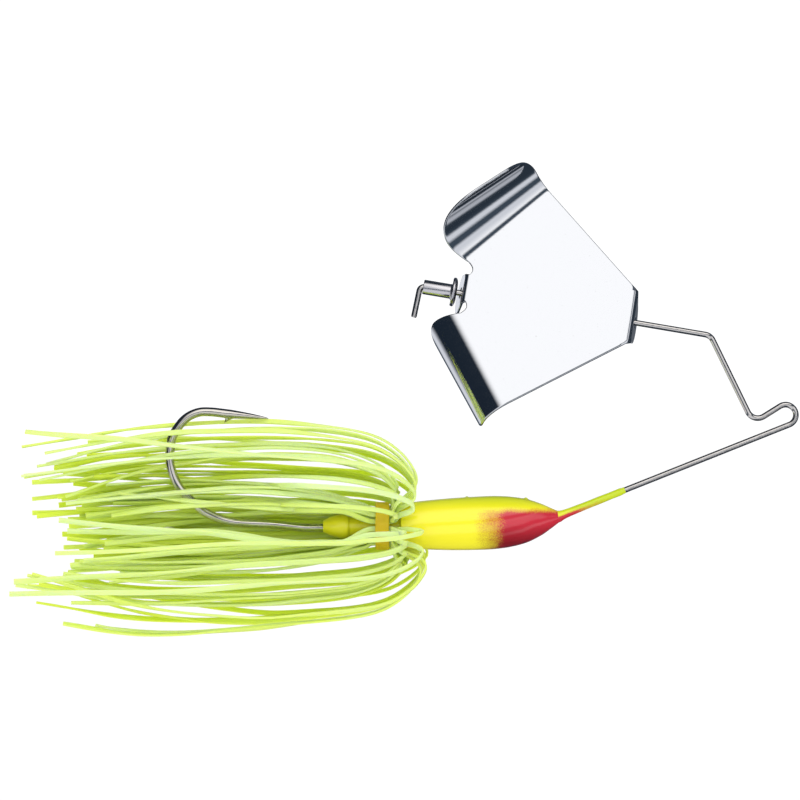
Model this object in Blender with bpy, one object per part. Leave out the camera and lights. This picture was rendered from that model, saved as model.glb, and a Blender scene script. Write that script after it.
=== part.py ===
"""A buzzbait: a bent wire arm with a two-winged propeller blade, a lead head cast on a
long-shank hook, and a skirt of rubber filaments held by a band.

Units are metres. +X points forward to the line tie, +Z up, and the wire lies in the plane Y = 0.
The origin is the middle of the line-tie bend.
"""
import math

import bmesh
import bpy
import numpy as np

MM = 0.001
GAP = 0.3 * MM                      # clearance between pieces that touch

# Wire arm, as a bend table
WIRE_R = 0.465 * MM
TAIL_HEADING = 78.2                 # degrees above +X, at the wire's free end
TAIL_BEND = (87.8, 0.72 * MM)       # turn in degrees and bend radius
SHAFT_TILT = 9.6                    # the shaft drops this many degrees towards the front
CORNER_BEND = (54.4, 1.6 * MM)
LOWER_BEND = (96.0, 1.76 * MM)
TIE_BEND = (190.3, 1.66 * MM)
TAIL_LENGTH = 4.4 * MM
SHAFT_LENGTH = 45.6 * MM
DOWN_LENGTH = 12.8 * MM
RISE_LENGTH = 3.1 * MM
ARM_LENGTH = 39.6 * MM              # line tie to nose
IN_HEAD_LENGTH = 0.6 * MM           # straight run inside the nose
COAT_LENGTH = 11.3 * MM             # paint that runs from the nose along the arm
COAT_R = (0.66 * MM, 0.58 * MM)     # over the wire, at the nose and where the coat ends

# Head casting: a bullet, a collar for the skirt, and a trailer keeper, on one axis
AXIS_Z = -17.8 * MM
RIM_X = -61.6 * MM                  # rear rim of the bullet
NOSE_X = -36.2 * MM
HEAD_STATIONS = (                   # share of the bullet's length from the rim, rise of its
    (0.00, 0.00, 3.35),             # centre above the axis and its half height, both in mm
    (0.10, 0.15, 3.80),
    (0.34, 0.35, 4.17),
    (0.60, 0.60, 4.23),
    (0.77, 0.82, 3.65),
    (0.88, 1.05, 2.62),
    (0.95, 1.28, 1.62),
    (1.00, 1.50, 0.86),
)
HEAD_WIDTH = 0.96                   # the bullet's width as a share of its height
COLLAR_R = 1.75 * MM
KEEPER_R = 1.70 * MM
KEEPER_STEP_X = -70.0 * MM
KEEPER_SWELL_R = 2.02 * MM          # of the cone behind the step
KEEPER_REAR_X = -74.0 * MM
KEEPER_REAR_R = 1.22 * MM

# Hook
HOOK_R = 0.725 * MM
EYE_X = -47.0 * MM
EYE_Z = -18.2 * MM
EYE_R = 1.75 * MM                   # of the eye's centreline; the eye lies level
EYE_HOOK_R = 0.9 * MM               # the bend that takes the arm's end down through the eye
HOOK_LINE = (                       # X, Z in mm, from behind the keeper round to the point
    (-76.9, -18.05), (-82.4, -17.5), (-88.6, -17.1), (-92.6, -15.7), (-94.8, -13.9),
    (-96.5, -12.2), (-97.7, -10.3), (-98.4, -8.1), (-98.5, -6.1), (-98.2, -3.8),
    (-97.3, -2.1), (-95.9, -0.5), (-94.0, 0.4), (-92.0, 0.5), (-89.3, 0.2), (-86.5, -0.1),
)
HOOK_TIP = (-82.7, -0.55)
BARB = ((-87.6, -0.35), (-90.2, -0.15), (-89.9, -1.35))   # a wedge on the inner side
BARB_HALF = 0.28 * MM

# Skirt
BAND_FRONT_X = -63.4 * MM
BAND_REAR_X = -65.6 * MM
BAND_R = (3.35 * MM, 3.82 * MM)     # inside and outside
STRAND_WIDTH = 0.74 * MM
STRAND_THICK = 0.40 * MM
LAYERS = ((13, 2.25 * MM), (17, 2.90 * MM))   # filaments and radius under the band
SKIRT_SEED = 8
RING_TURN = 14.0                    # a filament gets a ring at each such turn in degrees,
RING_RUN = 9.0 * MM                 # or after such a run
CLEAR_MM = 1.25                     # filaments settle this far apart, centre to centre
OWN_TAIL = 30                       # points before a filament also keeps clear of itself
HOOK_CLEAR_MM = 1.75
GAP_CLEAR_MM = 2.85                 # half width kept free inside the hook's gap
HOOK_GAP_X = (-97.0, -81.0)
HOOK_GAP_Z = (-17.2, 0.6)

# Blade
SHEET = 0.40 * MM
BLADE_BACK = 2.7 * MM               # the shaft runs this far behind the plate
BLADE_TILT = 20.0                   # degrees the plate is turned about the shaft at rest
BLADE_LENGTH = 27.2 * MM            # between its two lugs' fold lines
FRONT_HALF = 4.5 * MM
EDGE_ANGLE = {1: 41.0, -1: 38.2}    # leading edge to shaft, in degrees, upper and lower wing
EDGE_FLAT = {1: 21.4 * MM, -1: 22.3 * MM}   # leading edge up to the roll
WING_ROOT = (27.3 * MM, 4.4 * MM)   # where the roll meets the trailing edge, from the shaft
ROLL_R = {1: (5.5 * MM, 7.3 * MM), -1: (4.4 * MM, 4.7 * MM)}   # leading to trailing side
ROLL_ARC = {1: 98.0, -1: 112.0}     # degrees
# rounding of the rolled rim, leading and trailing
RIM_CORNERS = {1: (6.2 * MM, 8.4 * MM), -1: (2.5 * MM, 4.6 * MM)}
TRAILING_BULGE = 1.0 * MM
LUG_FOLD = 82.0
LUG_HALF = 3.4 * MM
LUG_HOLE_R = 0.85 * MM
NECK_HALF = 2.35 * MM
NOTCH_DEPTH = 0.6 * MM
BLADE_FRONT = 12.0 * MM             # from the wire's front corner to the front fold line

# Rivet bushing behind the blade
RIVET_R = 1.18 * MM
RIVET_BORE_R = 0.92 * MM
RIVET_LENGTH = 5.45 * MM
FLANGE_R = 2.34 * MM
FLANGE_THICK = 0.85 * MM
RIVET_FRONT = 40.35 * MM            # from the wire's front corner to the flange's face


# ---------------------------------------------------------------- helpers

def clear_scene():
    for obj in list(bpy.data.objects):
        bpy.data.objects.remove(obj, do_unlink=True)


def finish_material(name, colour, metallic, roughness):
    material = bpy.data.materials.new(name)
    material.use_nodes = True
    shader = material.node_tree.nodes["Principled BSDF"]
    shader.inputs["Base Color"].default_value = (*colour, 1.0)
    shader.inputs["Metallic"].default_value = metallic
    shader.inputs["Roughness"].default_value = roughness
    return material


def add_object(name, points, faces, material=None, smooth_angle=40.0):
    mesh = bpy.data.meshes.new(name)
    mesh.from_pydata([tuple(map(float, p)) for p in points], [], faces)
    bm = bmesh.new()
    bm.from_mesh(mesh)
    bmesh.ops.remove_doubles(bm, verts=bm.verts, dist=1e-7)
    bmesh.ops.recalc_face_normals(bm, faces=bm.faces)
    bm.to_mesh(mesh)
    bm.free()
    mesh.shade_smooth()
    mesh.set_sharp_from_angle(angle=math.radians(smooth_angle))
    obj = bpy.data.objects.new(name, mesh)
    bpy.context.collection.objects.link(obj)
    if material:
        mesh.materials.append(material)
    return obj


def as_cutter(obj):
    obj.hide_render = True
    obj.display_type = "WIRE"
    return obj


def boolean(obj, other, operation):
    modifier = obj.modifiers.new(f"{operation.lower()}_{other.name}", "BOOLEAN")
    modifier.operation = operation
    modifier.solver = "EXACT"
    modifier.object = as_cutter(other)


def loft(rings, closed_ends=True):
    """Points and faces of a skin over equal rings, with an n-gon at each end."""
    count, sides = len(rings), len(rings[0])
    points = [p for ring in rings for p in ring]
    faces = [
        (k * sides + j, k * sides + (j + 1) % sides,
         (k + 1) * sides + (j + 1) % sides, (k + 1) * sides + j)
        for k in range(count - 1) for j in range(sides)
    ]
    if closed_ends:
        faces.append(tuple(range(sides))[::-1])
        faces.append(tuple((count - 1) * sides + j for j in range(sides)))
    return points, faces


def carried_frames(path, first):
    """Directions along and across a path, carried along it without twist."""
    step = np.gradient(path, axis=0)
    along = step / np.linalg.norm(step, axis=1, keepdims=True)
    side = np.empty_like(path)
    for k, heading in enumerate(along):
        first = first - heading * np.dot(first, heading)
        first = first / np.linalg.norm(first)
        side[k] = first
    return side, np.cross(along, side)


def tube(path, radii, sides):
    """Round rings round a path that starts in the XZ plane."""
    path = np.asarray(path, float)
    side, up = carried_frames(path, np.array([0.0, 1.0, 0.0]))
    turn = np.linspace(0.0, 2.0 * math.pi, sides, endpoint=False)
    return [[point + radius * (math.cos(a) * s + math.sin(a) * u) for a in turn]
            for point, radius, s, u in zip(path, np.broadcast_to(radii, len(path)), side, up)]


def spline(points, per_span):
    """Catmull-Rom curve through points, with per_span steps between neighbours."""
    points = np.asarray(points, float)
    padded = np.vstack([2 * points[0] - points[1], points, 2 * points[-1] - points[-2]])
    curve = []
    for a, b, c, d in zip(padded, padded[1:], padded[2:], padded[3:]):
        for t in np.arange(per_span) / per_span:
            curve.append(0.5 * (2 * b + (c - a) * t + (2 * a - 5 * b + 4 * c - d) * t ** 2
                                + (3 * b - a - 3 * c + d) * t ** 3))
    curve.append(points[-1])
    return np.array(curve)


def ring_along_x(x, radius, sides, z=AXIS_Z, width=1.0):
    """A round or oval ring about a line along X."""
    angles = np.linspace(0.0, 2.0 * math.pi, sides, endpoint=False)
    return [(x, width * radius * math.cos(a), z + radius * math.sin(a)) for a in angles]


# ---------------------------------------------------------------- wire arm

class WireWalk:
    """Draws a bent wire in the XZ plane as straight runs and arcs."""

    def __init__(self, x, z, heading):
        self.at = np.array([x, z])
        self.heading = math.radians(heading)
        self.points = [self.at]

    def unit(self, turned_by=0.0):
        angle = self.heading + math.radians(turned_by)
        return np.array([math.cos(angle), math.sin(angle)])

    def ahead(self, length):
        self.at = self.at + self.unit() * length
        self.points.append(self.at)

    def bend(self, degrees, radius, step=18.0):
        """Turns left for positive degrees, on an arc of the given radius; gives its centre."""
        count = max(2, round(abs(degrees) / step))
        outward = -math.copysign(90.0, degrees)
        centre = self.at - radius * self.unit(outward)
        for _ in range(count):
            self.heading += math.radians(degrees / count)
            self.at = centre + radius * self.unit(outward)
            self.points.append(self.at)
        return centre


def walk_wire(x, z):
    """The wire from its free tail to where its paint starts, with the places others need."""
    walk = WireWalk(x, z, TAIL_HEADING)
    walk.ahead(TAIL_LENGTH)
    walk.bend(-TAIL_BEND[0], TAIL_BEND[1])
    shaft_rear = walk.at
    walk.ahead(SHAFT_LENGTH)
    shaft_front = walk.at
    walk.bend(-CORNER_BEND[0], CORNER_BEND[1])
    walk.ahead(DOWN_LENGTH)
    walk.bend(LOWER_BEND[0], LOWER_BEND[1])
    walk.ahead(RISE_LENGTH)
    tie_centre = walk.bend(-TIE_BEND[0], TIE_BEND[1])
    walk.ahead(ARM_LENGTH - COAT_LENGTH)
    return walk, shaft_rear, shaft_front, tie_centre


def placed_wire():
    """The walk with its line-tie bend centred on the origin."""
    tie_centre = walk_wire(0.0, 0.0)[3]
    return walk_wire(-tie_centre[0], -tie_centre[1])[:3]


def wire_path():
    """Points and radii of the wire with its paint coat, to its end in the hook's eye."""
    walk = placed_wire()[0]
    bare = len(walk.points)
    for share in (0.01, 0.5, 0.49):
        walk.ahead(COAT_LENGTH * share)
    coated = len(walk.points)
    walk.ahead(0.05 * MM)
    walk.ahead(IN_HEAD_LENGTH)
    level = 180.0 - math.degrees(walk.heading) % 360.0
    walk.bend(level, 2.0 * MM, step=8.0)
    walk.ahead(walk.at[0] - EYE_X - EYE_HOOK_R)
    walk.bend(90.0, EYE_HOOK_R)
    walk.ahead(walk.at[1] - (EYE_Z - EYE_R))
    radii = np.full(len(walk.points), WIRE_R)
    radii[bare:coated] = (COAT_R[1], 0.5 * sum(COAT_R), COAT_R[0])
    path = np.array([(x, 0.0, z) for x, z in walk.points])
    return path, radii, coated


def make_wire(material):
    path, radii, _ = wire_path()
    add_object("wire_frame", *loft(tube(path, radii, 8)), material)


# ---------------------------------------------------------------- hook and head

def hook_path():
    """Points and radii of the hook's wire from the eye to the point."""
    bend = spline(np.array(HOOK_LINE) * MM, 2)
    shank = [(EYE_X - EYE_R, EYE_Z), (KEEPER_REAR_X, HOOK_LINE[0][1] * MM)]
    flat = np.vstack([shank, bend, [np.array(HOOK_TIP) * MM]])
    radii = np.full(len(flat), HOOK_R)
    radii[-3:] = (0.9 * HOOK_R, 0.55 * HOOK_R, 0.06 * HOOK_R)
    return np.column_stack([flat[:, 0], np.zeros(len(flat)), flat[:, 1]]), radii


def make_hook(material):
    path, radii = hook_path()
    hook = add_object("hook", *loft(tube(path, radii, 10)), material)
    eye_path = [(EYE_X + EYE_R * math.cos(a), EYE_R * math.sin(a), EYE_Z)
                for a in np.linspace(0.0, 2.0 * math.pi, 20, endpoint=False)]
    rings = []
    for k, (x, y, z) in enumerate(eye_path):
        out = np.array([x - EYE_X, y, 0.0]) / EYE_R
        rings.append([np.array([x, y, z]) + HOOK_R * (math.cos(a) * out
                      + math.sin(a) * np.array([0.0, 0.0, 1.0]))
                      for a in np.linspace(0.0, 2.0 * math.pi, 10, endpoint=False)])
    eye = add_object("eye_form", *loft(rings + [rings[0]], closed_ends=False))
    boolean(hook, eye, "UNION")
    wedge = [(x * MM, side * BARB_HALF, z * MM) for x, z in BARB for side in (-1, 1)]
    faces = [(0, 2, 4), (1, 5, 3), (0, 1, 3, 2), (2, 3, 5, 4), (4, 5, 1, 0)]
    boolean(hook, add_object("barb_form", wedge, faces), "UNION")


def head_rings(sides=24):
    """Oval rings of the bullet from nose to rim, then round ones of collar and keeper."""
    stations = np.array(HEAD_STATIONS)
    share = np.concatenate([np.linspace(1.0, 0.75, 8), np.linspace(0.65, 0.1, 6), [0.03, 0.0]])
    smooth = spline(stations, 6)
    rise = np.interp(share, smooth[:, 0], smooth[:, 1]) * MM
    half = np.interp(share, smooth[:, 0], smooth[:, 2]) * MM
    half[-1] -= 0.25 * MM
    length = NOSE_X - RIM_X
    rings = [ring_along_x(RIM_X + s * length, h, sides, AXIS_Z + r, HEAD_WIDTH)
             for s, r, h in zip(share, rise, half)]
    collar_end = BAND_REAR_X + 0.1 * MM
    for x, radius in ((RIM_X, COLLAR_R), (collar_end, COLLAR_R), (collar_end, KEEPER_R),
                      (KEEPER_STEP_X, KEEPER_R), (KEEPER_STEP_X, KEEPER_SWELL_R),
                      (KEEPER_STEP_X - 1.0 * MM, KEEPER_SWELL_R),
                      (KEEPER_REAR_X, KEEPER_REAR_R)):
        rings.append(ring_along_x(x, radius, sides))
    return rings


def make_head(material):
    head = add_object("head", *loft(head_rings()), material)
    path, _, coated = wire_path()
    inside = path[coated - 1:].copy()
    inside[0] += (inside[0] - inside[1]) / np.linalg.norm(inside[0] - inside[1]) * MM
    inside[-1][2] -= GAP
    wire_bore = loft(tube(inside, WIRE_R + GAP, 12))
    boolean(head, add_object("wire_bore", *wire_bore), "DIFFERENCE")
    eye_disc = [[(EYE_X + r * math.cos(a), r * math.sin(a), EYE_Z + h)
                 for a in np.linspace(0.0, 2.0 * math.pi, 24, endpoint=False)]
                for r, h in ((EYE_R + HOOK_R + GAP, -HOOK_R - GAP),
                             (EYE_R + HOOK_R + GAP, HOOK_R + GAP))]
    boolean(head, add_object("eye_bore", *loft(eye_disc)), "DIFFERENCE")
    shank = hook_path()[0][:3].copy()
    shank_bore = loft(tube(shank, HOOK_R + GAP, 12))
    boolean(head, add_object("shank_bore", *shank_bore), "DIFFERENCE")


# ---------------------------------------------------------------- skirt

def make_band(material):
    low, high = BAND_R
    round_off = 0.2 * MM
    profile = [(BAND_FRONT_X, low), (BAND_FRONT_X, high - round_off),
               (BAND_FRONT_X - round_off, high), (BAND_REAR_X + round_off, high),
               (BAND_REAR_X, high - round_off), (BAND_REAR_X, low)]
    rings = [ring_along_x(x, r, 28) for x, r in profile]
    add_object("skirt_band", *loft(rings + [rings[0]], closed_ends=False), material)


def filament_plan():
    """One entry for each filament: its layer, its angle from +Z, and its own variation."""
    rng = np.random.default_rng(SKIRT_SEED)
    plan = []
    for layer, (count, radius) in enumerate(LAYERS):
        for k in range(count):
            angle = 2.0 * math.pi * (k + 0.5 + 0.12 * rng.uniform(-1, 1)) / count
            plan.append((layer, radius / MM, angle, rng.uniform(-1, 1, 8)))
    return plan


def filament_line(layer, radius, angle, vary):
    """Key points in mm from the rear tail's end, under the band, round the loop to the
    front tail's end. Height runs along cos(angle) and depth along sin(angle)."""
    up, out = math.cos(angle), math.sin(angle)

    def at(x, high, deep, drop=0.0):
        return (x, deep * out, AXIS_Z / MM + high * up + drop)

    front, rear = BAND_FRONT_X / MM, BAND_REAR_X / MM
    spread = (4.6, 7.2)[layer] + 0.8 * vary[0]
    rear_end = -111.5 - 4.0 * abs(vary[1]) + 5.0 * (abs(vary[2]) > 0.8)
    depth = (0.72, 0.76)[layer] * spread
    tail = [
        at(rear_end, 1.05 * spread, depth, -0.8 + 0.9 * vary[3]),
        at(-98.0, 1.05 * spread, depth, -0.3 + 0.5 * vary[3]),
        at(-84.0, 0.92 * spread, 0.96 * depth),
        at(-74.0, 0.72 * spread, 0.82 * depth),
        at(rear - 2.4, radius + 0.5, radius + 0.5),
        at(rear - 0.6, radius + 0.04, radius + 0.04),
        at(0.5 * (front + rear), radius, radius),
        at(front, radius, radius),
    ]
    # inner filaments turn out in front of the outer ones, and make the larger loops
    lead = (0.85, 0.28)[layer]
    turn = [
        at(front + lead, radius + 0.22, radius + 0.22),
        at(front + lead + 0.22, radius + 0.8, radius + 0.8),
        at(front + lead + 0.45, 4.2, 4.2),
    ]
    size = (1.0, 0.74)[layer] * (1.0 + (0.06, 0.10)[layer] * vary[4])
    below = up < 0.0
    high = 15.9 * size
    deep = 10.0 * size
    reach = -59.6 + (1.3 if below else 0.0) * size - 2.2 * layer + 0.7 * vary[5]
    loop = [
        at(reach - 0.6, 5.9, 5.6),
        at(reach, 0.52 * high, 0.58 * deep),
        at(reach - 2.6, 0.75 * high, 0.80 * deep),
        at(reach - 7.5, 0.92 * high, 0.95 * deep),
    ]
    end_x = -119.5 - 4.5 * vary[6]
    rear_rise = (1.04, 1.00, 0.84) if not below else (1.08, 1.08, 0.90)
    sweep = [
        at(-76.0, 1.01 * high, deep),
        at(-88.0, rear_rise[0] * high, 1.02 * deep, 0.3 * vary[7]),
        at(-103.0, rear_rise[1] * high, 0.95 * deep, 0.9 * vary[7]),
        at(end_x, rear_rise[2] * high, 0.82 * deep, 1.8 * vary[7]),
    ]
    return np.array(tail + turn + loop + sweep)


def stepped(curve, fine, coarse):
    """The curve again, with points a fine step apart near the band and a coarse one beyond."""
    band_mid = 0.5 * (BAND_FRONT_X + BAND_REAR_X) / MM
    middle = 0.5 * (curve[1:] + curve[:-1])
    away = np.hypot(middle[:, 0] - band_mid, 0.5 * (middle[:, 2] - AXIS_Z / MM))
    step = fine + (coarse - fine) * np.clip((away - 3.0) / 4.0, 0.0, 1.0)
    pace = np.linalg.norm(np.diff(curve, axis=0), axis=1) / step
    count = np.concatenate([[0.0], np.cumsum(pace)])
    marks = np.linspace(0.0, count[-1], max(2, round(count[-1])))
    return np.column_stack([np.interp(marks, count, curve[:, k]) for k in range(3)])


def settle(strands, hook_line, rounds=150):
    """Moves filaments apart where they come close, and out of the hook's way."""
    owner = np.concatenate([np.full(len(s), k) for k, s in enumerate(strands)])
    order = np.arange(len(owner))
    place = np.concatenate(strands)
    start = place.copy()
    band_mid = 0.5 * (BAND_FRONT_X + BAND_REAR_X) / MM
    from_axis = np.hypot(place[:, 1], place[:, 2] - AXIS_Z / MM)
    from_band = np.hypot(place[:, 0] - band_mid, np.maximum(from_axis - 2.6, 0.0))
    free = np.clip((from_band - 2.2) / 5.0, 0.0, 1.0)[:, None]
    inner = (owner[1:-1] == owner[:-2]) & (owner[1:-1] == owner[2:])
    for turn in range(rounds):
        if turn % 15 == 0:
            gap = np.linalg.norm(place[:, None] - place[None], axis=2)
            other = (owner[:, None] < owner[None]) | (order[:, None] + OWN_TAIL < order[None])
            near = np.argwhere((gap < 3.5) & other)
        a, b = near.T
        apart = place[a] - place[b]
        distance = np.linalg.norm(apart, axis=1)
        close = distance < CLEAR_MM
        a, b, apart, distance = a[close], b[close], apart[close], distance[close]
        push = apart / distance[:, None] * (0.5 * (CLEAR_MM - distance))[:, None]
        move = np.zeros_like(place)
        np.add.at(move, a, push)
        np.add.at(move, b, -push)
        place = place + 0.6 * move * free
        # the hook and the gap inside it stay clear
        gap = place[:, None] - hook_line[None]
        distance = np.linalg.norm(gap, axis=2)
        nearest = distance.argmin(axis=1)
        reach = distance[np.arange(len(place)), nearest]
        side = np.where(place[:, 1] < 0.0, -1.0, 1.0)
        inside = ((place[:, 0] < HOOK_GAP_X[1]) & (place[:, 0] > HOOK_GAP_X[0])
                  & (place[:, 2] > HOOK_GAP_Z[0]) & (place[:, 2] < HOOK_GAP_Z[1]))
        want = np.where(inside, GAP_CLEAR_MM, 0.0)
        want = np.maximum(want, np.where(reach < HOOK_CLEAR_MM,
                                         np.abs(place[:, 1]) + HOOK_CLEAR_MM - reach, 0.0))
        short = np.maximum(want - np.abs(place[:, 1]), 0.0)
        place[:, 1] += side * short * 0.5 * free[:, 0]
        shift = place - start
        eased = shift.copy()
        eased[1:-1] = np.where(inner[:, None],
                               0.5 * shift[1:-1] + 0.25 * (shift[:-2] + shift[2:]),
                               shift[1:-1])
        place = start + np.where(free > 0.0, eased, 0.0)
    return [place[owner == k] for k in range(len(strands))]


def skirt_lines():
    """Settled centrelines of all filaments, in metres, with each one's angle."""
    plan = filament_plan()
    strands = [stepped(spline(filament_line(*entry), 40), 0.25, 1.2) for entry in plan]
    hook_line = stepped(spline(hook_path()[0] / MM, 12), 1.2, 1.2)
    return [line * MM for line in settle(strands, hook_line)], [entry[2] for entry in plan]


def strand_rings(line, angle):
    """Flat rings of one filament, at its ends and wherever it has turned enough."""
    step = np.gradient(line, axis=0)
    along = step / np.linalg.norm(step, axis=1, keepdims=True)
    keep = [0]
    for k in range(1, len(line) - 1):
        turned = math.degrees(math.acos(min(1.0, float(np.dot(along[k], along[keep[-1]])))))
        run = float(np.linalg.norm(line[k] - line[keep[-1]]))
        if turned > RING_TURN or run > RING_RUN:
            keep.append(k)
    keep.append(len(line) - 1)
    path, along = line[keep], along[keep]
    sideways = np.array([0.0, math.cos(angle), -math.sin(angle)])
    rings = []
    for point, heading in zip(path, along):
        wide = sideways - heading * np.dot(sideways, heading)
        wide /= np.linalg.norm(wide)
        thick = np.cross(heading, wide)
        rings.append([point + 0.5 * (u * STRAND_WIDTH * wide + v * STRAND_THICK * thick)
                      for u, v in ((-1, -1), (1, -1), (1, 1), (-1, 1))])
    return rings


def make_skirt(material):
    lines, angles = skirt_lines()
    for number, (line, angle) in enumerate(zip(lines, angles), 1):
        add_object(f"skirt_filament_{number:02d}", *loft(strand_rings(line, angle)), material)


# ---------------------------------------------------------------- blade and rivet

def add_shaft_pivot():
    """An empty on the shaft, with its X axis along it towards the front."""
    shaft_front = placed_wire()[2]
    pivot = bpy.data.objects.new("shaft_pivot", None)
    bpy.context.collection.objects.link(pivot)
    pivot.location = (shaft_front[0], 0.0, shaft_front[1])
    pivot.rotation_euler = (0.0, math.radians(SHAFT_TILT), 0.0)
    return pivot


def rim_inset(left, radius):
    """How far a rounded corner pulls an edge in, at a distance left before the rim."""
    short = max(0.0, radius - left)
    return radius - math.sqrt(radius ** 2 - short ** 2)


def wing_sheet(side):
    """Grid of one rolled wing: rows round the roll, columns from leading to trailing edge."""
    edge = math.radians(EDGE_ANGLE[side])
    flat = EDGE_FLAT[side]
    corner = np.array([flat * math.cos(edge), FRONT_HALF + flat * math.sin(edge)])
    root = np.array(WING_ROOT)
    width = float(np.linalg.norm(root - corner))
    across = (root - corner) / width
    outward = np.array([-across[1], across[0]])
    lean = math.tan(math.atan2(outward[1], outward[0]) - edge)
    tight, wide = ROLL_R[side]
    arc = math.radians(ROLL_ARC[side])
    span = arc * (tight + wide) / 2
    rows = []
    for share in (0.0, 0.14, 0.28, 0.42, 0.56, 0.68, 0.78, 0.86, 0.92, 0.965, 1.0):
        along = span * share
        first = rim_inset(span - along, RIM_CORNERS[side][0]) + lean * along
        last = width + TRAILING_BULGE * math.sin(math.pi * share)
        last -= rim_inset(span - along, RIM_CORNERS[side][1])
        row = []
        for q in np.linspace(first, last, 7):
            radius = tight + (wide - tight) * min(1.0, max(0.0, q / width))
            a, w = corner + q * across + radius * math.sin(arc * share) * outward
            height = BLADE_BACK + side * radius * (1.0 - math.cos(arc * share))
            row.append((-a, -height, side * w))
        rows.append(row)
    return rows


def lug_sheet(root_half, a_root, outward):
    """Flat outline and hole of a lug, folded back at a_root; outward is -1 front, +1 rear."""
    fold = math.radians(LUG_FOLD)
    centre = BLADE_BACK / math.sin(fold)
    arc = [(centre + LUG_HALF * math.cos(t), LUG_HALF * math.sin(t))
           for t in np.radians(np.linspace(-78, 78, 11))]
    outline = [(0.0, -root_half)] + arc + [(0.0, root_half)]
    hole = [(centre + LUG_HOLE_R * math.cos(t), LUG_HOLE_R * math.sin(t))
            for t in np.linspace(0.0, 2.0 * math.pi, 14, endpoint=False)]

    def folded(p, w):
        return (-(a_root + outward * p * math.cos(fold)), -(BLADE_BACK - p * math.sin(fold)), w)

    return [folded(*p) for p in outline], [folded(*p) for p in hole]


def add_face(bm, points):
    return bm.faces.new([bm.verts.new(p) for p in points])


def make_blade(material, pivot):
    bm = bmesh.new()
    wings = {side: wing_sheet(side) for side in (1, -1)}
    for rows in wings.values():
        for row, after in zip(rows, rows[1:]):
            for k in range(len(row) - 1):
                add_face(bm, (row[k], row[k + 1], after[k + 1], after[k]))
    notch = []
    mid = 0.5 * (NECK_HALF + WING_ROOT[1])
    for t in np.radians(np.linspace(180, 0, 7))[::-1]:
        notch.append((-(BLADE_LENGTH - NOTCH_DEPTH * math.sin(t)), -BLADE_BACK,
                      mid + (WING_ROOT[1] - mid) * math.cos(t)))
    upper = [(0.0, -BLADE_BACK, FRONT_HALF)] + wings[1][0] + notch
    lower = [(0.0, -BLADE_BACK, -FRONT_HALF)] + wings[-1][0] + [(x, y, -z) for x, y, z in notch]
    add_face(bm, upper + lower[::-1])
    for root_half, a_root, outward in ((FRONT_HALF, 0.0, -1), (NECK_HALF, BLADE_LENGTH, 1)):
        edges = []
        for loop in lug_sheet(root_half, a_root, outward):
            verts = [bm.verts.new(p) for p in loop]
            edges += [bm.edges.new((a, b)) for a, b in zip(verts, verts[1:] + verts[:1])]
        bmesh.ops.triangle_fill(bm, use_beauty=True, use_dissolve=False, edges=edges)
    bmesh.ops.remove_doubles(bm, verts=bm.verts, dist=1e-6)
    bmesh.ops.recalc_face_normals(bm, faces=bm.faces)
    mesh = bpy.data.meshes.new("blade")
    bm.to_mesh(mesh)
    bm.free()
    mesh.materials.append(material)
    mesh.shade_smooth()
    mesh.set_sharp_from_angle(angle=math.radians(35.0))
    blade = bpy.data.objects.new("blade", mesh)
    bpy.context.collection.objects.link(blade)
    sheet = blade.modifiers.new("sheet", "SOLIDIFY")
    sheet.thickness = SHEET
    sheet.offset = 0.0
    sheet.use_even_offset = True
    blade.parent = pivot
    blade.location = (-BLADE_FRONT, 0.0, 0.0)
    blade.rotation_euler = (math.radians(-BLADE_TILT), 0.0, 0.0)


def make_rivet(material, pivot):
    """A tube with a domed flange at its front, turned about the shaft."""
    face, rear = -RIVET_FRONT, -RIVET_FRONT - RIVET_LENGTH
    back = face - FLANGE_THICK
    profile = [(face, RIVET_BORE_R), (face, FLANGE_R - 0.45 * MM),
               (face - 0.2 * MM, FLANGE_R - 0.12 * MM), (face - 0.45 * MM, FLANGE_R),
               (back, FLANGE_R - 0.15 * MM), (back, RIVET_R + 0.1 * MM),
               (back - 0.15 * MM, RIVET_R), (rear + 0.1 * MM, RIVET_R),
               (rear, RIVET_R - 0.08 * MM), (rear, RIVET_BORE_R)]
    rings = [ring_along_x(x, r, 20, 0.0) for x, r in profile]
    rivet = add_object("rivet_bushing", *loft(rings + [rings[0]], closed_ends=False), material)
    rivet.parent = pivot


def main():
    clear_scene()
    steel = finish_material("spring_steel", (0.62, 0.60, 0.57), 1.0, 0.25)
    paint = finish_material("head_paint", (0.86, 0.84, 0.03), 0.0, 0.2)
    nickel = finish_material("hook_nickel", (0.55, 0.52, 0.46), 1.0, 0.2)
    amber = finish_material("band_rubber", (0.50, 0.38, 0.01), 0.0, 0.5)
    lime = finish_material("skirt_silicone", (0.58, 0.80, 0.10), 0.0, 0.45)
    plate = finish_material("blade_nickel", (0.80, 0.81, 0.82), 1.0, 0.1)
    rivet = finish_material("rivet_metal", (0.68, 0.66, 0.62), 1.0, 0.3)
    make_wire(steel)
    make_hook(nickel)
    make_head(paint)
    make_band(amber)
    make_skirt(lime)
    pivot = add_shaft_pivot()
    make_blade(plate, pivot)
    make_rivet(rivet, pivot)


main()
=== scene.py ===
import math

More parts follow.
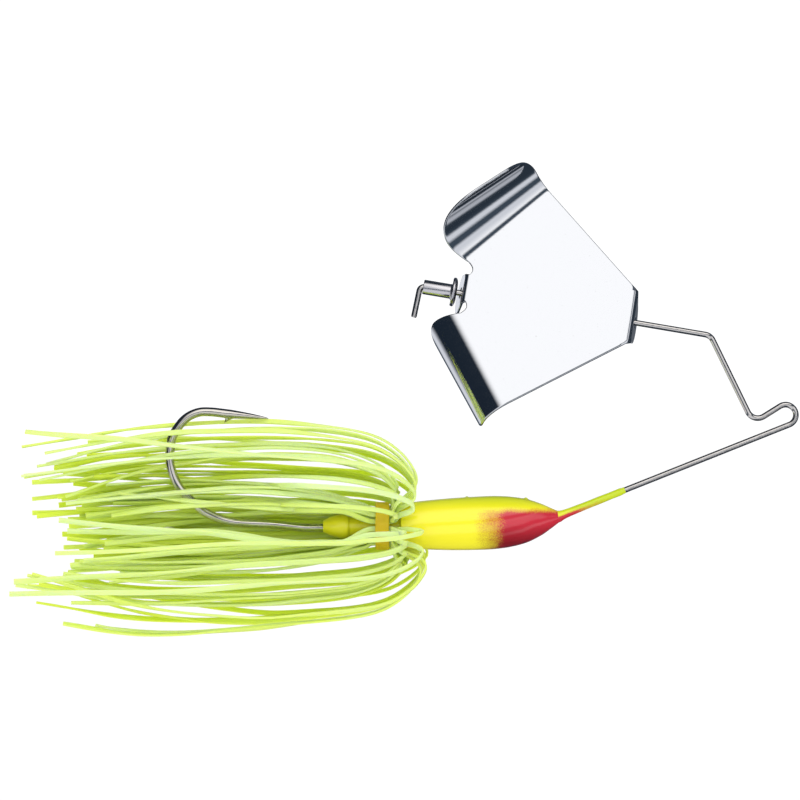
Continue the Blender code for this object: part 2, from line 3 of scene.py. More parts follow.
import bmesh
import bpy
import numpy as np
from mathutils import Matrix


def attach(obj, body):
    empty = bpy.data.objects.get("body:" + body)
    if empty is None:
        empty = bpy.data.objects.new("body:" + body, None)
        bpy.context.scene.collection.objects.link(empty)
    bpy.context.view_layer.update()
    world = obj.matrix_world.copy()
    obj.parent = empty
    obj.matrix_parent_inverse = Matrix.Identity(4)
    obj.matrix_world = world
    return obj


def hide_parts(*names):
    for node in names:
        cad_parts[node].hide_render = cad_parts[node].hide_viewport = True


# A buzzbait: bent wire arm, two-winged propeller blade with its rivet bushing, painted lead head
# on a long-shank hook, and a skirt of silicone strands under a rubber band.
# Lengths are in millimetres until a mesh is made, in the frame's own axes: +X to the line tie,
# +Z up, the wire in the plane Y = 0, and the show side towards -Y.

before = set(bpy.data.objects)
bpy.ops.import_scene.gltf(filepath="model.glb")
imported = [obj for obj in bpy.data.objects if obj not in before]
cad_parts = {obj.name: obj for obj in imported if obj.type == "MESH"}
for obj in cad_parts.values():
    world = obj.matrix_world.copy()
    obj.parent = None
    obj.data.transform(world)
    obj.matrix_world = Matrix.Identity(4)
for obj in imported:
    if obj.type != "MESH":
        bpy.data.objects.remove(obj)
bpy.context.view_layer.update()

MM = 0.001

# Wire arm, as its bend table: turn in degrees and bend radius
WIRE_R = 0.465
TAIL_HEADING = 78.2
TAIL_BEND = (87.8, 0.72)
CORNER_BEND = (54.4, 1.6)
LOWER_BEND = (96.0, 1.76)
TIE_BEND = (190.3, 1.66)
TAIL_LENGTH = 4.4
SHAFT_LENGTH = 45.6
SHAFT_TILT = 9.6
DOWN_LENGTH = 12.8
RISE_LENGTH = 3.1
ARM_LENGTH = 39.6
IN_HEAD_LENGTH = 0.65
IN_HEAD_BEND_R = 2.0
WIRE_STEP = 0.22
CUT_ROUND = (0.12, 0.10)   # length and depth of the rounding at the wire's cut ends
BEND_STEP = 5.0
ROUND_SIDES = 32           # points round a wire, the hook and the paint on the arm

# Paint on the arm, from its rim on the wire to the nose
COAT_LENGTH = 11.3
COAT_LAP = 0.5             # how far it goes on inside the nose
COAT_R = (0.66, 0.58)      # near the nose, and near the rim
COAT_TAPER = 1.4           # power of the distance between the two
COAT_UNEVEN = (0.022, 0.02)    # along the wire, and to either side
COAT_STEP_RUN = 0.9        # the stretch next to the rim, which is thinner
RIM_PAINT = (0.004, 0.035, 0.048)   # thickness of the paint's feather edge, ring by ring
RIM_THICK = 0.05
RIM_RAMP = (0.42, 0.35)    # where the paint starts to thicken, and over what length
FLARE = (0.26, 0.7)        # swelling at the nose, and how fast it dies away

# Head casting
AXIS_Z = -17.8
RIM_X = -61.6
NOSE_X = -36.2
HEAD_STATIONS = (       # share of the bullet from the rim, rise of its centre, half height
    (0.00, 0.00, 3.35), (0.10, 0.15, 3.80), (0.34, 0.35, 4.17), (0.60, 0.60, 4.23),
    (0.77, 0.82, 3.65), (0.88, 1.05, 2.62), (0.95, 1.28, 1.62), (1.00, 1.50, 0.86),
)
HEAD_WIDTH = 0.96       # half width as a share of half height
HEAD_HALF = 4.2         # rounded half height, for the paint's unevenness round the head
HEAD_SIDES = 120
NOSE_TIP = (0.34, 0.60)    # length and half height of the blunt end
RIM_ROUND = 0.35
RIM_STEP = 0.06
COLLAR_R = 1.75
COLLAR_ROOT = 0.25      # fillet between the rim's face and the collar
PAINT_UNEVEN = 0.028
KEEPER = (              # X and radius along the trailer keeper, from the band to its end
    (-65.5, 1.75), (-66.2, 1.72), (-69.0, 1.66), (-69.7, 1.70), (-69.95, 1.92), (-70.3, 2.03),
    (-70.8, 2.02), (-71.8, 1.84), (-72.8, 1.52), (-73.5, 1.20), (-73.9, 1.02), (-74.0, 0.85),
)
PAINT_NIBS = ((-41.5, 0.30, 0.26), (-51.0, 0.24, 0.16))   # X, spread and height on the ridge
NIB_WIDTH = 0.30

# Hook
HOOK_R = 0.725
EYE_X, EYE_Z, EYE_R = -47.0, -18.2, 1.75
EYE_NECK = 1.6          # the shank starts this far behind the eye
EYE_HOOK_R = 0.9        # bend of the wire's own end, round the eye
KEEPER_REAR_X = -74.0
HOOK_STEP = 0.25
HOOK_LINE = (           # X and Z from behind the keeper round to the point
    (-76.9, -18.05), (-82.4, -17.5), (-88.6, -17.1), (-92.6, -15.7), (-94.8, -13.9),
    (-96.5, -12.2), (-97.7, -10.3), (-98.4, -8.1), (-98.5, -6.1), (-98.2, -3.8),
    (-97.3, -2.1), (-95.9, -0.5), (-94.0, 0.4), (-92.0, 0.5), (-89.3, 0.2), (-86.5, -0.1),
)
HOOK_TIP = (-82.7, -0.55)
POINT_LENGTH = 6.3      # the wire tapers over this length to its point
POINT_TAPER = 0.62
TIP_R = 0.015
BARB_X = -88.9
BARB_HALF = 0.7
BARB_RISE = 0.75
BARB_SWEEP = 0.75       # the barb's tip leans back by this much
BARB_NARROW = 14        # power that makes it narrow round the wire

# Skirt
BAND_FRONT_X = -63.4
BAND_REAR_X = -65.6
BAND_MID_X = 0.5 * (BAND_FRONT_X + BAND_REAR_X)
BAND_R = (3.35, 3.82)
BAND_ROUND = 0.42       # power that flattens the profile's rounds
UNDER_R = 2.6           # middle radius of the strands under the band
STRAND_WIDTH = 0.74
STRAND_THICK = 0.40
STRAND_ROUND = 0.45
STRAND_SIDES = 12
STRAND_STEP = 0.55
LAYERS = ((13, 2.25), (17, 2.90))   # strands and radius under the band: inner, outer
ANGLE_VARY = 0.12                   # share of the space between strands
TAIL_SPREAD = (4.6, 7.2)            # from here on, pairs are for the inner and outer layer
TAIL_DEPTH = (0.72, 0.76)
TAIL_END_X = -111.5
TURN_LEAD = (0.85, 0.28)
LOOP_SIZE = (1.0, 0.74)
LOOP_VARY = (0.06, 0.10)
LOOP_HIGH = 15.9
LOOP_DEEP = 10.0
LOOP_FRONT_X = -59.6
SWEEP_END_X = -119.5
SWEEP_RISE_UPPER = (1.04, 1.00, 0.84)
SWEEP_RISE_LOWER = (1.08, 1.08, 0.90)
SKIRT_SEED = 8
# each strand's own share between the skirt's light and deep green: random tone, and a random amount
# of painted highlight
STRAND_TINT_AND_SHEEN = (-0.25, 0.35)
FAR_PAINTED_SHADE = 0.75         # painted shade: how much deeper the far side is
PAINTED_SHADE_DEPTH = 14.0       # the depth along Y over which the painted shade deepens
FILL_FROM = -1.0        # the show side's middle gets no filling strands
BEND_X = -94.0          # strands that pass here between these heights go behind the bend
BEND_LOW_Z, BEND_HIGH_Z = -18.5, -9.8
PASS_FROM_X = -74.0
KEEPER_WINDOW = 2.5     # half height of the gap that the show side leaves over the keeper
KEEPER_SWELL_X = -72.0
KEEPER_RUN = 5.5        # length over which they part, from just behind the band
KEEPER_BACK_RUN = 17.0  # length over which they ease back, up to the bend
BEND_PASS_MM = 4.0      # strands are through the gap this far before the bend
PASS_SHARE = 1.8        # and then stand at 0.8 of their depth on the far side
STRAY_MM = 1.7          # how far strand ends wander up and down
STRAY_MOST_MM = 3.6
STRAY_FROM = 16.0       # distance behind the band where they start to wander
STRAY_RUN = 34.0
FLUTTER_FROM = (3.5, 14.0)   # distance from the band where twist sets in, and run to its full
TWIST = (0.55, 0.25)    # radians, of its two waves
FLUTTER_MM = 0.10
FINE_STEPS = (3.0, 4.0) # points are close this near the band, and far apart after this run
HALF_POINTS = 80        # points along each half of a filling strand
SWAY = 0.22             # how much its share of the two neighbours varies along it
SETTLE_ROUNDS = 150
NEIGHBOUR_ROUNDS = 15   # rounds between two searches for neighbours
NEIGHBOUR_MM = 3.5
CLEAR_MM = 1.25
HELD = (2.2, 5.0)       # no strand moves this near the band; free after this run more
PUSH_SHARE = 0.6        # share of an overlap that one round takes away
OWN_TAIL = 30           # points along a strand before it counts as another one
HOOK_CLEAR_MM = 1.75
GAP_CLEAR_MM = 2.85
HOOK_GAP_X = (-97.0, -81.0)
HOOK_GAP_Z = (-17.2, 0.6)

# Blade, in its own flat frame: a runs back along the shaft, w across it
SHEET = 0.40
BLADE_BACK = 2.7
BLADE_TILT = 20.0
BLADE_LENGTH = 27.2
FRONT_HALF = 4.5
EDGE_ANGLE = {1: 41.0, -1: 38.2}
EDGE_FLAT = {1: 21.4, -1: 22.3}
WING_ROOT = (27.3, 4.4)
ROLL_R = {1: (5.5, 7.3), -1: (4.4, 4.7)}
ROLL_ARC = {1: 98.0, -1: 112.0}
RIM_CORNERS = {1: (6.2, 8.4), -1: (2.5, 4.6)}
TRAILING_BULGE = 1.0
LUG_FOLD = 82.0
FOLD_R = 0.5
FOLD_BACK = 0.43        # how far the bend starts inside the sharp fold line
LUG_HALF = 3.4
LUG_HOLE_R = 0.85
NECK_HALF = 2.35
NOTCH_DEPTH = 0.5
BLADE_FRONT = 12.0
ROLL_EASE = 1.35        # spaces the rows closer at the rim
BROKEN_EDGE = 0.12
PLATE_COLUMNS = 48
WING_ROWS = 44
LUG_ROWS = 12
LEAD_ROWS = (26, 16)    # rows of the plate's front outline: beside the lug, and at the lug
TRAIL_ROWS = (12, 44)   # and of its rear outline; both add up to the same count

# Rivet bushing
RIVET_R = 1.18
RIVET_BORE_R = 0.92
RIVET_LENGTH = 5.45
FLANGE_R = 2.34
FLANGE_THICK = 0.85
FLANGE_ROUND = (0.35, 0.18)    # rounding of its rear edge: along and across
DOME_RISE = 0.5
BORE_LIP = 0.12
THROAT_ROUND = 0.3
RIVET_FRONT = 40.35


# ---------------------------------------------------------------- surfaces

def lattice(rows, columns, closed_rows=False, closed_columns=False):
    """Quads over points numbered row by row, and each corner's place as (column, row) shares.
    A closed way joins its last line of points to its first."""
    r, c = np.meshgrid(np.arange(rows if closed_rows else rows - 1),
                       np.arange(columns if closed_columns else columns - 1), indexing="ij")
    corner_r = np.stack([r, r, r + 1, r + 1], axis=-1).reshape(-1, 4)
    corner_c = np.stack([c, c + 1, c + 1, c], axis=-1).reshape(-1, 4)
    quads = (corner_r % rows) * columns + corner_c % columns
    return quads, np.stack([corner_c / columns, corner_r / rows], axis=-1)


def build_mesh(name, points, faces, corner_uv=None):
    """A mesh from points in mm, with outward normals and an optional UV map for its first faces."""
    mesh = bpy.data.meshes.new(name)
    mesh.from_pydata((np.asarray(points) * MM).tolist(), [], faces)
    if corner_uv is not None:
        flat = np.zeros((len(mesh.loops), 2))
        flat[:corner_uv.size // 2] = corner_uv.reshape(-1, 2)
        mesh.uv_layers.new(name="surface").data.foreach_set("uv", flat.ravel())
    bm = bmesh.new()
    bm.from_mesh(mesh)
    bmesh.ops.remove_doubles(bm, verts=bm.verts, dist=0.002 * MM)
    bmesh.ops.recalc_face_normals(bm, faces=bm.faces)
    bm.to_mesh(mesh)
    bm.free()
    return mesh


def add_piece(mesh, material, body, nodes=(), sharp=35.0):
    """Puts a finished mesh in the scene as a piece that rides on a body."""
    mesh.shade_smooth()
    mesh.set_sharp_from_angle(angle=math.radians(sharp))
    mesh.materials.append(material)
    piece = bpy.data.objects.new(mesh.name, mesh)
    bpy.context.collection.objects.link(piece)
    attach(piece, body)
    if nodes:
        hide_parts(*nodes)
    return piece


def tube_mesh(name, rings, length=1.0):
    """A tube from its rings, with a flat face over each end, and a UV map whose second number
    goes up to the length."""
    rows, sides = rings.shape[:2]
    quads, uv = lattice(rows, sides, closed_columns=True)
    ends = [tuple(range(sides)), tuple(range((rows - 1) * sides, rows * sides))]
    return build_mesh(name, rings.reshape(-1, 3), quads.tolist() + ends, uv * (1.0, length))


def full_turn(sides):
    """Even angles round a circle, in radians."""
    return np.linspace(0.0, 2.0 * math.pi, sides, endpoint=False)


def headings(path):
    """The unit direction of travel at each point of a path."""
    along = np.gradient(path, axis=0)
    return along / np.linalg.norm(along, axis=1, keepdims=True)


def swept_rings(path, radii, sides):
    """Rings round a path in the plane Y = 0: at each point, radius times (cos a along +Y, sin a
    along the path's own normal in the plane)."""
    along = headings(path)
    a = full_turn(sides)
    r = np.broadcast_to(radii, len(path))[:, None]
    x = path[:, :1] - r * np.sin(a) * along[:, 1:]
    z = path[:, 1:] + r * np.sin(a) * along[:, :1]
    return np.stack([x, r * np.cos(a), z], axis=-1)


def run_length(path):
    """The length along a path from its first point to each of its points."""
    return np.concatenate([[0.0], np.cumsum(np.linalg.norm(np.diff(path, axis=0), axis=1))])


def resampled(path, step):
    """The path again, at even steps of about that length."""
    run = run_length(path)
    marks = np.linspace(0.0, run[-1], max(2, round(run[-1] / step)))
    return np.column_stack([np.interp(marks, run, column) for column in path.T])


def spline(points, per_span):
    """Catmull-Rom curve through points, with per_span steps between neighbours."""
    points = np.asarray(points, float)
    padded = np.vstack([2 * points[0] - points[1], points, 2 * points[-1] - points[-2]])
    t = (np.arange(per_span) / per_span)[None, :, None]
    a, b, c, d = (padded[k:len(padded) - 3 + k, None] for k in range(4))
    curve = 0.5 * (2 * b + (c - a) * t + (2 * a - 5 * b + 4 * c - d) * t ** 2
                   + (3 * b - a - 3 * c + d) * t ** 3)
    return np.vstack([curve.reshape(-1, points.shape[1]), points[-1]])


def smooth_step(share):
    """3 s^2 - 2 s^3 for a share s held between 0 and 1: level at both ends."""
    s = np.clip(share, 0.0, 1.0)
    return s * s * (3.0 - 2.0 * s)


def flattened(wave, power):
    """A cosine or sine with flattened rounds, which turns a circle into a rounded oblong."""
    return np.sign(wave) * np.abs(wave) ** power


def ripple(x, y, scale, seed):
    """A smooth unevenness of about -1 to 1: four crossed sine waves of random heading."""
    rng = np.random.default_rng(seed)
    total = np.zeros(np.broadcast(x, y).shape)
    for heading, phase in zip(rng.uniform(0.0, math.pi, 4), rng.uniform(0.0, 2 * math.pi, 4)):
        total += np.sin((x * math.cos(heading) + y * math.sin(heading)) / scale + phase)
    return total / 4.0


# ---------------------------------------------------------------- materials

def spread_nodes(*columns):
    """Sets the nodes out in columns from left to right, as in the node editor."""
    for k, column in enumerate(columns):
        for j, node in enumerate(column):
            node.location = (-1300 + 230 * k, 300 - 250 * j)


def metal_finish(name, colour, worn, roughness, rough_spread, scale, stretch, relief):
    """Bright or drawn metal: long fine lines, specks of tarnish, and a faint relief.
    stretch squeezes the lines' pattern along the run of the piece's own UV map."""
    material = bpy.data.materials.new(name)
    material.use_nodes = True
    tree = material.node_tree
    shader = tree.nodes["Principled BSDF"]
    place = tree.nodes.new("ShaderNodeTexCoord")
    place.label = "place on the metal"
    lines_map = tree.nodes.new("ShaderNodeMapping")
    lines_map.label = "stretch lines along the run"
    lines = tree.nodes.new("ShaderNodeTexNoise")
    lines.label = "drawing and rolling lines"
    specks = tree.nodes.new("ShaderNodeTexNoise")
    specks.label = "specks of tarnish"
    speck_ramp = tree.nodes.new("ShaderNodeValToRGB")
    speck_ramp.label = "keep only the darkest specks"
    tone = tree.nodes.new("ShaderNodeMix")
    tone.label = "bright metal to tarnish"
    gloss = tree.nodes.new("ShaderNodeMapRange")
    gloss.label = "lines vary the gloss"
    bump = tree.nodes.new("ShaderNodeBump")
    bump.label = "relief of the lines"
    lines_frame = tree.nodes.new("NodeFrame")
    lines_frame.label = "lines along the run"
    tarnish_frame = tree.nodes.new("NodeFrame")
    tarnish_frame.label = "tarnish"
    spread_nodes([place], [lines_map, specks], [lines, speck_ramp], [gloss, tone], [bump])
    for node in (lines_map, lines, gloss, bump):
        node.parent = lines_frame
    for node in (specks, speck_ramp, tone):
        node.parent = tarnish_frame

    lines_map.inputs["Scale"].default_value = stretch
    lines.inputs["Scale"].default_value = scale
    lines.inputs["Detail"].default_value = 5.0
    specks.inputs["Scale"].default_value = 2600.0
    specks.inputs["Detail"].default_value = 3.0
    speck_ramp.color_ramp.elements[0].position = 0.68
    speck_ramp.color_ramp.elements[1].position = 0.76
    tone.data_type = "RGBA"
    tone.inputs["A"].default_value = (*colour, 1.0)
    tone.inputs["B"].default_value = (*worn, 1.0)
    gloss.inputs["To Min"].default_value = roughness - rough_spread
    gloss.inputs["To Max"].default_value = roughness + rough_spread
    bump.inputs["Strength"].default_value = 1.0
    bump.inputs["Distance"].default_value = relief * MM
    shader.inputs["Metallic"].default_value = 1.0

    link = tree.links.new
    link(place.outputs["UV"], lines_map.inputs["Vector"])
    link(place.outputs["Object"], specks.inputs["Vector"])
    link(lines_map.outputs["Vector"], lines.inputs["Vector"])
    link(specks.outputs["Fac"], speck_ramp.inputs["Fac"])
    link(speck_ramp.outputs["Color"], tone.inputs["Factor"])
    link(lines.outputs["Fac"], gloss.inputs["Value"])
    link(lines.outputs["Fac"], bump.inputs["Height"])
    link(tone.outputs["Result"], shader.inputs["Base Color"])
    link(gloss.outputs["Result"], shader.inputs["Roughness"])
    link(bump.outputs["Normal"], shader.inputs["Normal"])
    return material


def sprayed_paint(name, red_edge, red_depth, ridge_z, ridge_soft, ridge_slope, green_z):
    """Gloss yellow with red sprayed over it from below. Along X the red comes in over red_depth
    either side of red_edge, in front of it, or behind it where the depth is negative. It fades
    out within ridge_soft of the line z = ridge_z + ridge_slope * x, and is broken up by drift
    and droplets. The red gets darker towards the bottom, which is painted shade. The yellow turns
    greener above green_z."""
    material = bpy.data.materials.new(name)
    material.use_nodes = True
    tree = material.node_tree
    shader = tree.nodes["Principled BSDF"]
    place = tree.nodes.new("ShaderNodeTexCoord")
    place.label = "place on the casting"
    axes = tree.nodes.new("ShaderNodeSeparateXYZ")
    axes.label = "forward, sideways and up"
    drift = tree.nodes.new("ShaderNodeTexNoise")
    drift.label = "uneven edge of the spray"
    speckle = tree.nodes.new("ShaderNodeTexNoise")
    speckle.label = "droplets"
    forward = tree.nodes.new("ShaderNodeMapRange")
    forward.label = "red from here forward"
    below = tree.nodes.new("ShaderNodeMath")
    below.label = "height above the ridge line"
    ridge = tree.nodes.new("ShaderNodeMapRange")
    ridge.label = "red below the ridge"
    both = tree.nodes.new("ShaderNodeMath")
    both.label = "forward and below"
    rough_edge = tree.nodes.new("ShaderNodeMath")
    rough_edge.label = "break the edge up"
    drops = tree.nodes.new("ShaderNodeMath")
    drops.label = "add droplets"
    cover = tree.nodes.new("ShaderNodeMapRange")
    cover.label = "cover of red paint"
    # painted shade: the red darkens towards the bottom of the casting
    low = tree.nodes.new("ShaderNodeMapRange")
    low.label = "painted shade underneath"
    reds = tree.nodes.new("ShaderNodeMix")
    reds.label = "bright red to deep red"
    yellows = tree.nodes.new("ShaderNodeMix")
    yellows.label = "yellow to its greener top"
    top = tree.nodes.new("ShaderNodeMapRange")
    top.label = "towards the top edge"
    coat = tree.nodes.new("ShaderNodeMix")
    coat.label = "red over yellow"
    peel = tree.nodes.new("ShaderNodeTexNoise")
    peel.label = "orange peel"
    bump = tree.nodes.new("ShaderNodeBump")
    bump.label = "relief of the paint"
    spray_frame = tree.nodes.new("NodeFrame")
    spray_frame.label = "sprayed red"
    colour_frame = tree.nodes.new("NodeFrame")
    colour_frame.label = "colours"
    skin_frame = tree.nodes.new("NodeFrame")
    skin_frame.label = "skin of the paint"
    spread_nodes([place, peel], [axes, drift, speckle], [forward, below, low, top],
                 [ridge, rough_edge, bump], [both, reds, yellows], [drops], [cover], [coat])
    for node in (drift, speckle, forward, below, ridge, both, rough_edge, drops, cover):
        node.parent = spray_frame
    for node in (low, reds, yellows, top, coat):
        node.parent = colour_frame
    for node in (peel, bump):
        node.parent = skin_frame

    drift.inputs["Scale"].default_value = 420.0
    speckle.inputs["Scale"].default_value = 8200.0
    speckle.inputs["Detail"].default_value = 1.0
    forward.inputs["From Min"].default_value = (red_edge - red_depth) * MM
    forward.inputs["From Max"].default_value = (red_edge + red_depth) * MM
    below.operation = "MULTIPLY_ADD"
    below.inputs[1].default_value = -ridge_slope
    ridge.inputs["From Min"].default_value = (ridge_z + ridge_soft) * MM
    ridge.inputs["From Max"].default_value = (ridge_z - ridge_soft) * MM
    both.operation = "MULTIPLY"
    rough_edge.operation = "MULTIPLY_ADD"
    rough_edge.inputs[1].default_value = 0.35
    drops.operation = "MULTIPLY_ADD"
    drops.inputs[1].default_value = 0.60
    cover.inputs["From Min"].default_value = 0.74
    cover.inputs["From Max"].default_value = 1.27
    # painted shade: from AXIS_Z + 0.6 down to AXIS_Z - 2.6 the red goes over to its deep red
    low.inputs["From Min"].default_value = (AXIS_Z + 0.6) * MM
    low.inputs["From Max"].default_value = (AXIS_Z - 2.6) * MM
    top.inputs["From Min"].default_value = green_z * MM
    top.inputs["From Max"].default_value = (green_z + 2.2) * MM
    reds.data_type = yellows.data_type = coat.data_type = "RGBA"
    # bright red, and the deep red of the painted shade underneath
    reds.inputs["A"].default_value = (0.52, 0.016, 0.034, 1.0)
    reds.inputs["B"].default_value = (0.22, 0.0005, 0.006, 1.0)
    yellows.inputs["A"].default_value = (0.84, 0.77, 0.015, 1.0)
    yellows.inputs["B"].default_value = (0.50, 0.62, 0.004, 1.0)
    peel.inputs["Scale"].default_value = 300.0
    peel.inputs["Detail"].default_value = 2.0
    bump.inputs["Strength"].default_value = 0.35
    bump.inputs["Distance"].default_value = 0.10 * MM
    shader.inputs["Roughness"].default_value = 0.28
    shader.inputs["IOR"].default_value = 1.36
    shader.inputs["Coat Weight"].default_value = 1.0
    shader.inputs["Coat Roughness"].default_value = 0.07
    shader.inputs["Coat IOR"].default_value = 1.5

    link = tree.links.new
    for reader in (axes, drift, speckle, peel):
        link(place.outputs["Object"], reader.inputs["Vector"])
    link(axes.outputs["X"], forward.inputs["Value"])
    link(axes.outputs["X"], below.inputs[0])
    link(axes.outputs["Z"], below.inputs[2])
    link(below.outputs["Value"], ridge.inputs["Value"])
    link(forward.outputs["Result"], both.inputs[0])
    link(ridge.outputs["Result"], both.inputs[1])
    link(drift.outputs["Fac"], rough_edge.inputs[0])
    link(both.outputs["Value"], rough_edge.inputs[2])
    link(rough_edge.outputs["Value"], drops.inputs[2])
    link(speckle.outputs["Fac"], drops.inputs[0])
    link(axes.outputs["Z"], low.inputs["Value"])
    link(axes.outputs["Z"], top.inputs["Value"])
    link(drops.outputs["Value"], cover.inputs["Value"])
    link(low.outputs["Result"], reds.inputs["Factor"])
    link(top.outputs["Result"], yellows.inputs["Factor"])
    link(cover.outputs["Result"], coat.inputs["Factor"])
    link(yellows.outputs["Result"], coat.inputs["A"])
    link(reds.outputs["Result"], coat.inputs["B"])
    link(peel.outputs["Fac"], bump.inputs["Height"])
    link(coat.outputs["Result"], shader.inputs["Base Color"])
    link(bump.outputs["Normal"], shader.inputs["Normal"])
    link(bump.outputs["Normal"], shader.inputs["Coat Normal"])
    return material


def rubber_finish(name, light, deep, roughness, scatter, scatter_mm, grain, relief):
    """Soft translucent rubber or silicone: a tint from light to deep that each piece carries in
    its own "tint" attribute, cloudy patches, and fine grain along the piece. On the skirt the
    light colour is a painted highlight and the tint also carries painted shade."""
    material = bpy.data.materials.new(name)
    material.use_nodes = True
    tree = material.node_tree
    shader = tree.nodes["Principled BSDF"]
    place = tree.nodes.new("ShaderNodeTexCoord")
    place.label = "place on the piece"
    # on the skirt this tint carries painted highlight and painted shade besides random tone
    tint = tree.nodes.new("ShaderNodeAttribute")
    tint.label = "the piece's own tint"
    clouds = tree.nodes.new("ShaderNodeTexNoise")
    clouds.label = "cloudy dye"
    blend = tree.nodes.new("ShaderNodeMath")
    blend.label = "tint with clouds"
    colour = tree.nodes.new("ShaderNodeMix")
    colour.label = "light to deep"
    along = tree.nodes.new("ShaderNodeMapping")
    along.label = "stretch grain along"
    grain_noise = tree.nodes.new("ShaderNodeTexNoise")
    grain_noise.label = "fine moulding grain"
    gloss = tree.nodes.new("ShaderNodeMapRange")
    gloss.label = "grain dulls the gloss"
    bump = tree.nodes.new("ShaderNodeBump")
    bump.label = "relief of the grain"
    dye_and_shade_frame = tree.nodes.new("NodeFrame")
    dye_and_shade_frame.label = "dye"
    grain_frame = tree.nodes.new("NodeFrame")
    grain_frame.label = "grain"
    spread_nodes([place], [clouds, along], [tint, grain_noise], [blend, gloss], [colour, bump])
    for node in (tint, clouds, blend, colour):
        node.parent = dye_and_shade_frame
    for node in (along, grain_noise, gloss, bump):
        node.parent = grain_frame

    tint.attribute_name = "tint"
    clouds.inputs["Scale"].default_value = 140.0
    clouds.inputs["Detail"].default_value = 2.0
    blend.operation = "MULTIPLY_ADD"
    blend.inputs[1].default_value = 0.45
    colour.data_type = "RGBA"
    colour.inputs["A"].default_value = (*light, 1.0)
    colour.inputs["B"].default_value = (*deep, 1.0)
    along.inputs["Scale"].default_value = grain
    grain_noise.inputs["Scale"].default_value = 1.0
    grain_noise.inputs["Detail"].default_value = 4.0
    gloss.inputs["To Min"].default_value = roughness - 0.08
    gloss.inputs["To Max"].default_value = roughness + 0.12
    bump.inputs["Strength"].default_value = 0.5
    bump.inputs["Distance"].default_value = relief * MM
    shader.inputs["Subsurface Weight"].default_value = scatter
    shader.inputs["Subsurface Radius"].default_value = (1.0, 1.0, 0.25)
    shader.inputs["Subsurface Scale"].default_value = scatter_mm * MM
    shader.inputs["IOR"].default_value = 1.45

    link = tree.links.new
    link(place.outputs["Object"], clouds.inputs["Vector"])
    link(place.outputs["UV"], along.inputs["Vector"])
    link(along.outputs["Vector"], grain_noise.inputs["Vector"])
    link(clouds.outputs["Fac"], blend.inputs[0])
    link(tint.outputs["Fac"], blend.inputs[2])
    link(blend.outputs["Value"], colour.inputs["Factor"])
    link(grain_noise.outputs["Fac"], gloss.inputs["Value"])
    link(grain_noise.outputs["Fac"], bump.inputs["Height"])
    link(colour.outputs["Result"], shader.inputs["Base Color"])
    link(gloss.outputs["Result"], shader.inputs["Roughness"])
    link(bump.outputs["Normal"], shader.inputs["Normal"])
    return material


def give_tint_and_shade(mesh, value, far=0.0):
    """The tint is one number on every vertex, from 0 light to 1 deep: the piece's own value, and
    up to far more of it on the side away from the show side, which is painted shade."""
    points = np.empty(3 * len(mesh.vertices))
    mesh.vertices.foreach_get("co", points)
    # painted shade: the tint deepens towards +Y, away from the show side
    away = np.clip(0.5 + points[1::3] / (PAINTED_SHADE_DEPTH * MM), 0.0, 1.0)
    attribute = mesh.attributes.new("tint", "FLOAT", "POINT")
    attribute.data.foreach_set("value", (value + far * away).astype(np.float32))


# ---------------------------------------------------------------- wire arm

class WireWalk:
    """Draws a bent wire in the XZ plane as straight runs and arcs."""

    def __init__(self, x, z, heading):
        self.at = np.array([x, z])
        self.heading = math.radians(heading)
        self.points = [self.at]

    def unit(self, turned_by=0.0):
        """The heading as a unit vector, turned left by so many degrees."""
        angle = self.heading + math.radians(turned_by)
        return np.array([math.cos(angle), math.sin(angle)])

    def ahead(self, length):
        """A straight run along the heading."""
        self.at = self.at + self.unit() * length
        self.points.append(self.at)

    def bend(self, degrees, radius):
        """Turns left for positive degrees, on an arc of the given radius; gives its centre."""
        count = max(2, round(abs(degrees) / BEND_STEP))
        outward = -math.copysign(90.0, degrees)
        centre = self.at - radius * self.unit(outward)
        for _ in range(count):
            self.heading += math.radians(degrees / count)
            self.at = centre + radius * self.unit(outward)
            self.points.append(self.at)
        return centre


def walk_wire(x, z):
    """The wire from its free tail to where its paint starts."""
    walk = WireWalk(x, z, TAIL_HEADING)
    walk.ahead(TAIL_LENGTH)
    walk.bend(-TAIL_BEND[0], TAIL_BEND[1])
    walk.ahead(SHAFT_LENGTH)
    shaft_front = walk.at
    walk.bend(-CORNER_BEND[0], CORNER_BEND[1])
    walk.ahead(DOWN_LENGTH)
    walk.bend(LOWER_BEND[0], LOWER_BEND[1])
    walk.ahead(RISE_LENGTH)
    tie_centre = walk.bend(-TIE_BEND[0], TIE_BEND[1])
    walk.ahead(ARM_LENGTH - COAT_LENGTH)
    return walk, shaft_front, tie_centre


def placed_walk():
    """The walk with its line-tie bend centred on the origin, and the shaft's front end."""
    tie_centre = walk_wire(0.0, 0.0)[2]
    walk, shaft_front, _ = walk_wire(-tie_centre[0], -tie_centre[1])
    return walk, shaft_front


def add_wire(material):
    """The bare wire, from its cut tail to its end in the hook's eye: a circle swept along the
    runs and arcs of its bends. Its radius falls as a parabola at the cut ends."""
    walk, _ = placed_walk()
    walk.ahead(COAT_LENGTH + IN_HEAD_LENGTH)
    level = 180.0 - math.degrees(walk.heading) % 360.0
    walk.bend(level, IN_HEAD_BEND_R)
    walk.ahead(walk.at[0] - EYE_X - EYE_HOOK_R)
    walk.bend(90.0, EYE_HOOK_R)
    walk.ahead(walk.at[1] - (EYE_Z - EYE_R))
    path = resampled(np.array(walk.points), WIRE_STEP)
    run = run_length(path)
    left = np.minimum(run, run[-1] - run)
    round_length, round_depth = CUT_ROUND
    radii = WIRE_R - round_depth * np.clip(1.0 - left / round_length, 0.0, 1.0) ** 2
    rings = swept_rings(path, radii, ROUND_SIDES)
    mesh = tube_mesh("arm_wire", rings, run[-1])
    add_piece(mesh, material, "lure_body", ["wire_frame"])


